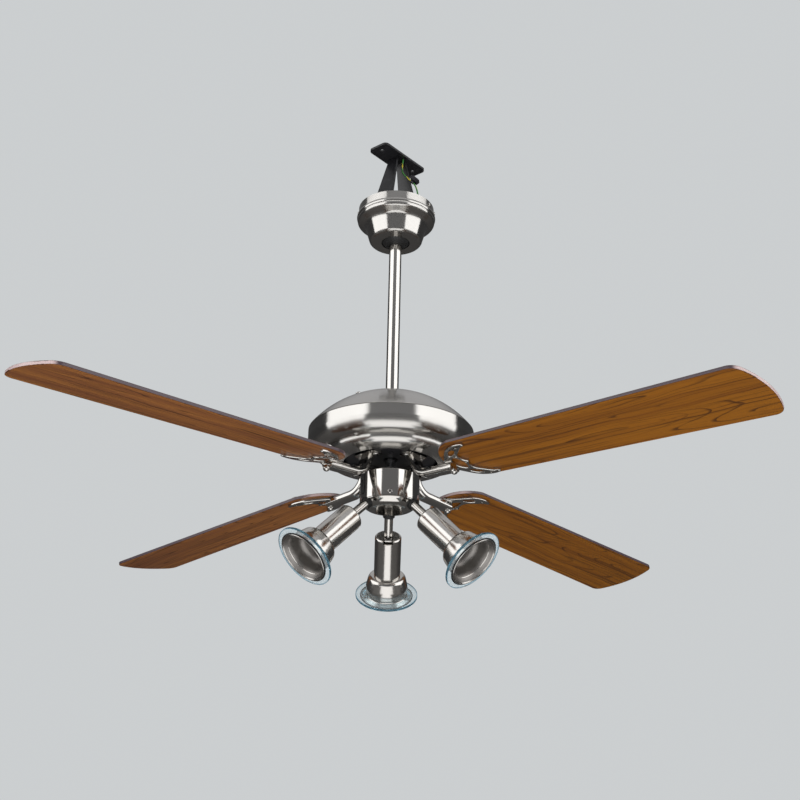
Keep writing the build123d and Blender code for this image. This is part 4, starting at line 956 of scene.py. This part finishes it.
class FAN_OT_dress_spots(bpy.types.Operator):
    """Finishes the spotlights and forms their bells, reflectors, glass, seals, hinges and sockets"""

    bl_idname = "fan.dress_spots"
    bl_label = "Dress spotlights"

    def execute(self, context):
        metal = context.scene.fan_metal
        parts = context.scene.fan_hardware
        spot = context.scene.fan_spot
        rubber = moulded("seal rubber", (0.010, 0.010, 0.011), 0.5)
        brass = brushed_metal("socket brass", (0.62, 0.42, 0.16), 0.25, FINE_BRUSH)
        plate = brushed_metal("set screw plate", metal.bright_colour, 0.2, FINE_BRUSH)
        # Second finish of the set screws: painted shade for their recesses.
        grime_and_recess_shade = recess_painted_shade("set screw recess")
        lines = metal.brush_lines
        for index in range(1, SPOT_COUNT + 1):
            turn = spot_frame(index)
            satin = brushed_metal(
                f"spot nickel {index}", metal.bright_colour, metal.spot_roughness, lines, turn
            )
            # Satin reflector metal whose colour is darkened partly as painted shade inside the bell.
            bowl = brushed_metal(f"reflector {index}", metal.reflector_colour, 0.46, lines, turn)
            dress([f"stem_{index}", f"can_{index}", f"pivot_pin_{index}"], satin)
            dress([f"lamp_holder_{index}"], moulded(f"ceramic {index}", (0.72, 0.70, 0.65), 0.3))
            self.spin_bell(index, turn, spot, satin)
            self.spin_reflector(index, turn, spot, parts, bowl)
            self.cut_glass(index, turn, spot, context.scene.fan_glass)
            self.add_seal(index, turn, spot, rubber)
            self.add_socket(index, turn, parts, brass)
            self.add_hinge(index, turn, satin)
            self.add_set_screw(index, turn, [plate, grime_and_recess_shade])
        return {"FINISHED"}

    def spin_bell(self, index, turn, spot, satin):
        """The cup behind the lamp: shoulder, bulge, waist and a flared mouth with a rolled edge."""
        neck = span(f"cup_{index}", turn)[0].z
        front = span(f"glass_ring_{index}", turn)[1].z
        bore = span(f"can_{index}", turn)[1].x
        line = rounded(
            [
                (bore, neck),
                (spot.shoulder, neck),
                (spot.bulge, neck + spot.bulge_reach),
                (spot.waist, front - spot.flare_depth),
                (spot.lip, front + spot.lip_rise),
            ],
            BELL_FILLETS,
        )
        edge = ring_profile(spot.lip, front + spot.lip_rise + spot.wall / 2, spot.lip_bead)
        bell = add_turned(f"bell_{index}", [walled(line, spot.wall), edge], turn, satin, f"head_{index}")
        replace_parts(bell, f"cup_{index}")

    def spin_reflector(self, index, turn, spot, parts, bowl):
        """The satin bowl in front of the lamp holder, whose rim follows the bell's flare."""
        front = span(f"glass_ring_{index}", turn)[1].z
        holder = span(f"lamp_holder_{index}", turn)[1].z
        waist = spot.waist - spot.wall * 1.6
        rim = spot.lip - spot.border
        line = rounded(
            [
                (parts.socket_radius * 1.525, holder),
                (spot.base, holder + spot.base_rise),
                (waist, front - spot.flare_depth + 0.0005),
                (rim, front + spot.lip_rise - 0.0002),
            ],
            BOWL_FILLETS,
        )
        wall = walled(line, spot.reflector_wall)
        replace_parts(add_turned(f"bowl_{index}", [wall], turn, bowl, f"head_{index}"), f"reflector_{index}")

    def cut_glass(self, index, turn, spot, glass):
        """The flat ring of glass round the bell's mouth, with ground edges."""
        low, high = span(f"glass_ring_{index}", turn)
        slope = (spot.flare_depth + spot.lip_rise) / (spot.lip - spot.waist)
        hole = spot.waist + spot.flare_depth / slope + 0.0001
        back = hole - (high.z - low.z) / slope
        corners = [(back, low.z), (high.x, low.z), (high.x, high.z), (hole, high.z)]
        line = rounded(corners, [GLASS_EDGE, GLASS_EDGE], steps=4)
        finish = ring_glass(f"ring glass {index}", glass, turn, high.x)
        flange = add_turned(f"flange_{index}", [line], turn, finish, f"head_{index}", GLASS_STEPS)
        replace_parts(flange, f"glass_ring_{index}")

    def add_seal(self, index, turn, spot, rubber):
        """A rubber ring between the bell's lip and the glass."""
        front = span(f"glass_ring_{index}", turn)[1].z
        ring = ring_profile(spot.lip + SEAL_THICK * 1.7, front + SEAL_THICK * 0.6, SEAL_THICK)
        add_turned(f"lip_seal_{index}", [ring], turn, rubber, f"head_{index}", crease=80.0)

    def add_socket(self, index, turn, parts, brass):
        """A threaded brass shell and a middle contact inside the lamp holder."""
        front = span(f"lamp_holder_{index}", turn)[1].z
        line = []
        for step in range(SHELL_RIDGES + 1):
            height = front - SHELL_SETBACK - (parts.socket_depth - SHELL_FOOT) * step / SHELL_RIDGES
            radius = parts.socket_radius - SHELL_PLAY + SHELL_RIDGE * math.sin(step * math.pi / 2)
            line.append(Vector((radius, height)))
        shape = bmesh.new()
        turn_profile(shape, walled(line, -SHELL_WALL), 48, closed=True)
        foot = front - parts.socket_depth
        turn_profile(shape, [(radius, foot + height) for radius, height in CONTACT], 24)
        bmesh.ops.transform(shape, matrix=turn, verts=shape.verts)
        add_piece(f"lamp_socket_{index}", shape, [brass], f"head_{index}", crease=60.0)

    def add_hinge(self, index, turn, satin):
        """A hinge block on the stem's end, across the tilt pin, and a plate in the can behind it."""
        low, high = span(f"pivot_pin_{index}", turn)
        can_low, can_high = span(f"can_{index}", turn)
        pivot = (low + high) / 2
        half = span(f"stem_{index}", turn)[1].z - pivot.z
        radius = pivot.z - can_low.z - HINGE_PLAY
        shape = bmesh.new()
        bmesh.ops.create_cone(
            shape, cap_ends=True, segments=64, radius1=radius, radius2=radius, depth=half * 2
        )
        rims = [edge for edge in shape.edges if abs(edge.verts[0].co.z - edge.verts[1].co.z) < 1e-6]
        bmesh.ops.bevel(
            shape, geom=rims, offset=HINGE_EDGE, affect="EDGES", segments=3, profile=0.5, material=-1
        )
        place = Matrix.Translation(pivot) @ Matrix.Rotation(math.pi / 2, 4, "Y")
        bmesh.ops.transform(shape, matrix=turn @ place, verts=shape.verts)
        add_piece(f"hinge_block_{index}", shape, [satin], f"stem_{index}_arm")
        near = pivot.z + radius + PLATE_PLAY
        far = near + PLATE_THICK
        rim = can_high.x - PLATE_INSET
        shape = bmesh.new()
        line = [(0.0, near), (rim - PLATE_EDGE, near), (rim, near + PLATE_EDGE), (rim, far), (0.0, far)]
        turn_profile(shape, line, 64)
        bmesh.ops.transform(shape, matrix=turn, verts=shape.verts)
        add_piece(f"hinge_plate_{index}", shape, [satin], f"head_{index}")

    def add_set_screw(self, index, turn, finishes):
        """A small screw through the can's wall into the bell's neck."""
        neck = span(f"cup_{index}", turn)[0].z
        wall = span(f"can_{index}", turn)[1].x
        place = Matrix.Rotation(-math.pi / 2, 4, "X")
        place.translation = (0, wall - 0.00012, neck - 0.0045)
        shape = copies(screw_pattern(*SET_SCREW), [turn @ place])
        add_piece(f"set_screw_{index}", shape, finishes, f"head_{index}")


def softbox(name, centre, width, height, radiance):
    """An area lamp turned to the fan, whose face has the given brightness."""
    lamp = bpy.data.lights.new(name, "AREA")
    lamp.shape = "RECTANGLE"
    lamp.size, lamp.size_y = width, height
    lamp.energy = radiance * math.pi * width * height
    holder = bpy.data.objects.new(name, lamp)
    holder.location = centre
    holder.rotation_euler = (FAN_MIDDLE - centre).to_track_quat("-Z", "Y").to_euler()
    holder.visible_camera = False
    bpy.context.scene.collection.objects.link(holder)
    return holder


class FAN_OT_set_stage(bpy.types.Operator):
    """Builds the floor, studio light and camera"""

    bl_idname = "fan.set_stage"
    bl_label = "Set stage"

    def execute(self, context):
        scene = context.scene
        stage = scene.fan_stage
        self.add_floor(stage)
        self.light_world(scene, stage)
        for side, name in ((-1, "left softbox"), (1, "right softbox")):
            way = Vector((side * math.sin(SOFTBOX_TURN), -math.cos(SOFTBOX_TURN), math.tan(SOFTBOX_RISE)))
            place = FAN_MIDDLE + way * SOFTBOX_REACH
            softbox(name, place, SOFTBOX_WIDTH, SOFTBOX_HEIGHT, stage.softbox_radiance)
        for name, near, far, width in FLOOR_LAMPS:
            place = Vector((0, (near + far) / 2, FLOOR_LAMP_HEIGHT))
            holder = softbox(name, place, width, near - far, stage.fill_radiance)
            holder.rotation_euler = (math.pi, 0, 0)
        self.add_camera(scene, stage)
        scene.view_settings.view_transform = "Standard"
        return {"FINISHED"}

    def add_floor(self, stage):
        """A plain floor, evenly pale to the camera and dark in the metal's reflections."""
        shape = bmesh.new()
        bmesh.ops.create_grid(shape, x_segments=2, y_segments=2, size=12.0)
        bmesh.ops.translate(shape, verts=shape.verts, vec=(0, 0, -stage.floor_drop))
        mesh = bpy.data.meshes.new("floor")
        shape.to_mesh(mesh)
        shape.free()
        floor = bpy.data.objects.new("floor", mesh)
        finish = Finish("pale floor", roughness=0.7, emission_strength=1.0)
        cloud = finish.noise(finish.place(), 1.5, detail=3.0)
        pale = finish.mix(cloud, (0.66, 0.67, 0.68, 1), (0.70, 0.71, 0.72, 1))
        mirrored = finish.node("ShaderNodeLightPath", output="Is Glossy Ray")
        seen = finish.other(mirrored, "Is Camera Ray")
        lit = finish.mix(mirrored, pale, (0.13, 0.125, 0.12, 1))
        finish.set("Base Color", finish.mix(seen, lit, shaded(stage.ground_colour, 0.3)))
        finish.set("Emission Color", finish.mix(seen, (0, 0, 0, 1), shaded(stage.ground_colour, 0.8)))
        mesh.materials.append(finish.material)
        bpy.context.scene.collection.objects.link(floor)

    def light_world(self, scene, stage):
        """A dim room with a bright ceiling, behind a pale background."""
        world = bpy.data.worlds.new("studio")
        world.use_nodes = True
        scene.world = world
        book = NodeBook(world.node_tree)
        way = book.node("ShaderNodeTexCoord", output=0)
        x, y, z = book.parts(way)
        above = z.ramp(0.35, 0.85) * (1 - abs(x).ramp(0.3, 0.8) * 0.75)
        studio = 0.05 + (0 - y).ramp(0.3, 0.9) * 0.12 + above * 0.5
        rays = book.node("ShaderNodeLightPath", output="Is Camera Ray")
        seen = rays + book.other(rays, "Is Transmission Ray")
        room = book.vector(studio, studio, studio * 1.02)
        tone = book.mix(seen.ramp(0.4, 0.6), room, shaded(stage.ground_colour))
        light = book.node("ShaderNodeBackground", None, {"Color": tone, "Strength": 1.0})
        output = world.node_tree.nodes.new("ShaderNodeOutputWorld")
        world.node_tree.links.new(light.socket, output.inputs["Surface"])

    def add_camera(self, scene, stage):
        camera = bpy.data.objects.new("camera", bpy.data.cameras.new("camera"))
        camera.data.lens = stage.camera_lens
        camera.data.sensor_width = 36.0
        camera.data.clip_end = 60.0
        turn = Matrix.Rotation(-stage.camera_yaw, 4, "Z")
        turn = turn @ Matrix.Rotation(math.pi / 2 + stage.camera_pitch, 4, "X")
        turn = turn @ Matrix.Rotation(stage.camera_roll, 4, "Z")
        camera.rotation_euler = turn.to_euler()
        camera.location = stage.camera_place
        scene.collection.objects.link(camera)
        scene.camera = camera


OPERATORS = (
    FAN_OT_dress_hanger,
    FAN_OT_dress_drop,
    FAN_OT_dress_rotor,
    FAN_OT_dress_blades,
    FAN_OT_dress_spots,
    FAN_OT_set_stage,
)


class FAN_PT_looks(bpy.types.Panel):
    """Buttons that make the fan's looks"""

    bl_idname = "FAN_PT_looks"
    bl_label = "Ceiling fan"
    bl_space_type = "VIEW_3D"
    bl_region_type = "UI"
    bl_category = "Fan"

    def draw(self, context):
        for operator in OPERATORS:
            self.layout.operator(operator.bl_idname)


SETTINGS = {
    "fan_metal": FanMetalSettings,
    "fan_timber": FanTimberSettings,
    "fan_hardware": FanHardwareSettings,
    "fan_spot": FanSpotSettings,
    "fan_glass": FanGlassSettings,
    "fan_stage": FanStageSettings,
}


def register():
    for kind in (*SETTINGS.values(), *OPERATORS, FAN_PT_looks):
        bpy.utils.register_class(kind)
    for name, kind in SETTINGS.items():
        setattr(bpy.types.Scene, name, bpy.props.PointerProperty(type=kind))


def unregister():
    for name in SETTINGS:
        delattr(bpy.types.Scene, name)
    for kind in reversed((*SETTINGS.values(), *OPERATORS, FAN_PT_looks)):
        bpy.utils.unregister_class(kind)


def main():
    register()
    for operator in OPERATORS:
        group, name = operator.bl_idname.split(".")
        getattr(getattr(bpy.ops, group), name)()


if __name__ == "__main__":
    main()
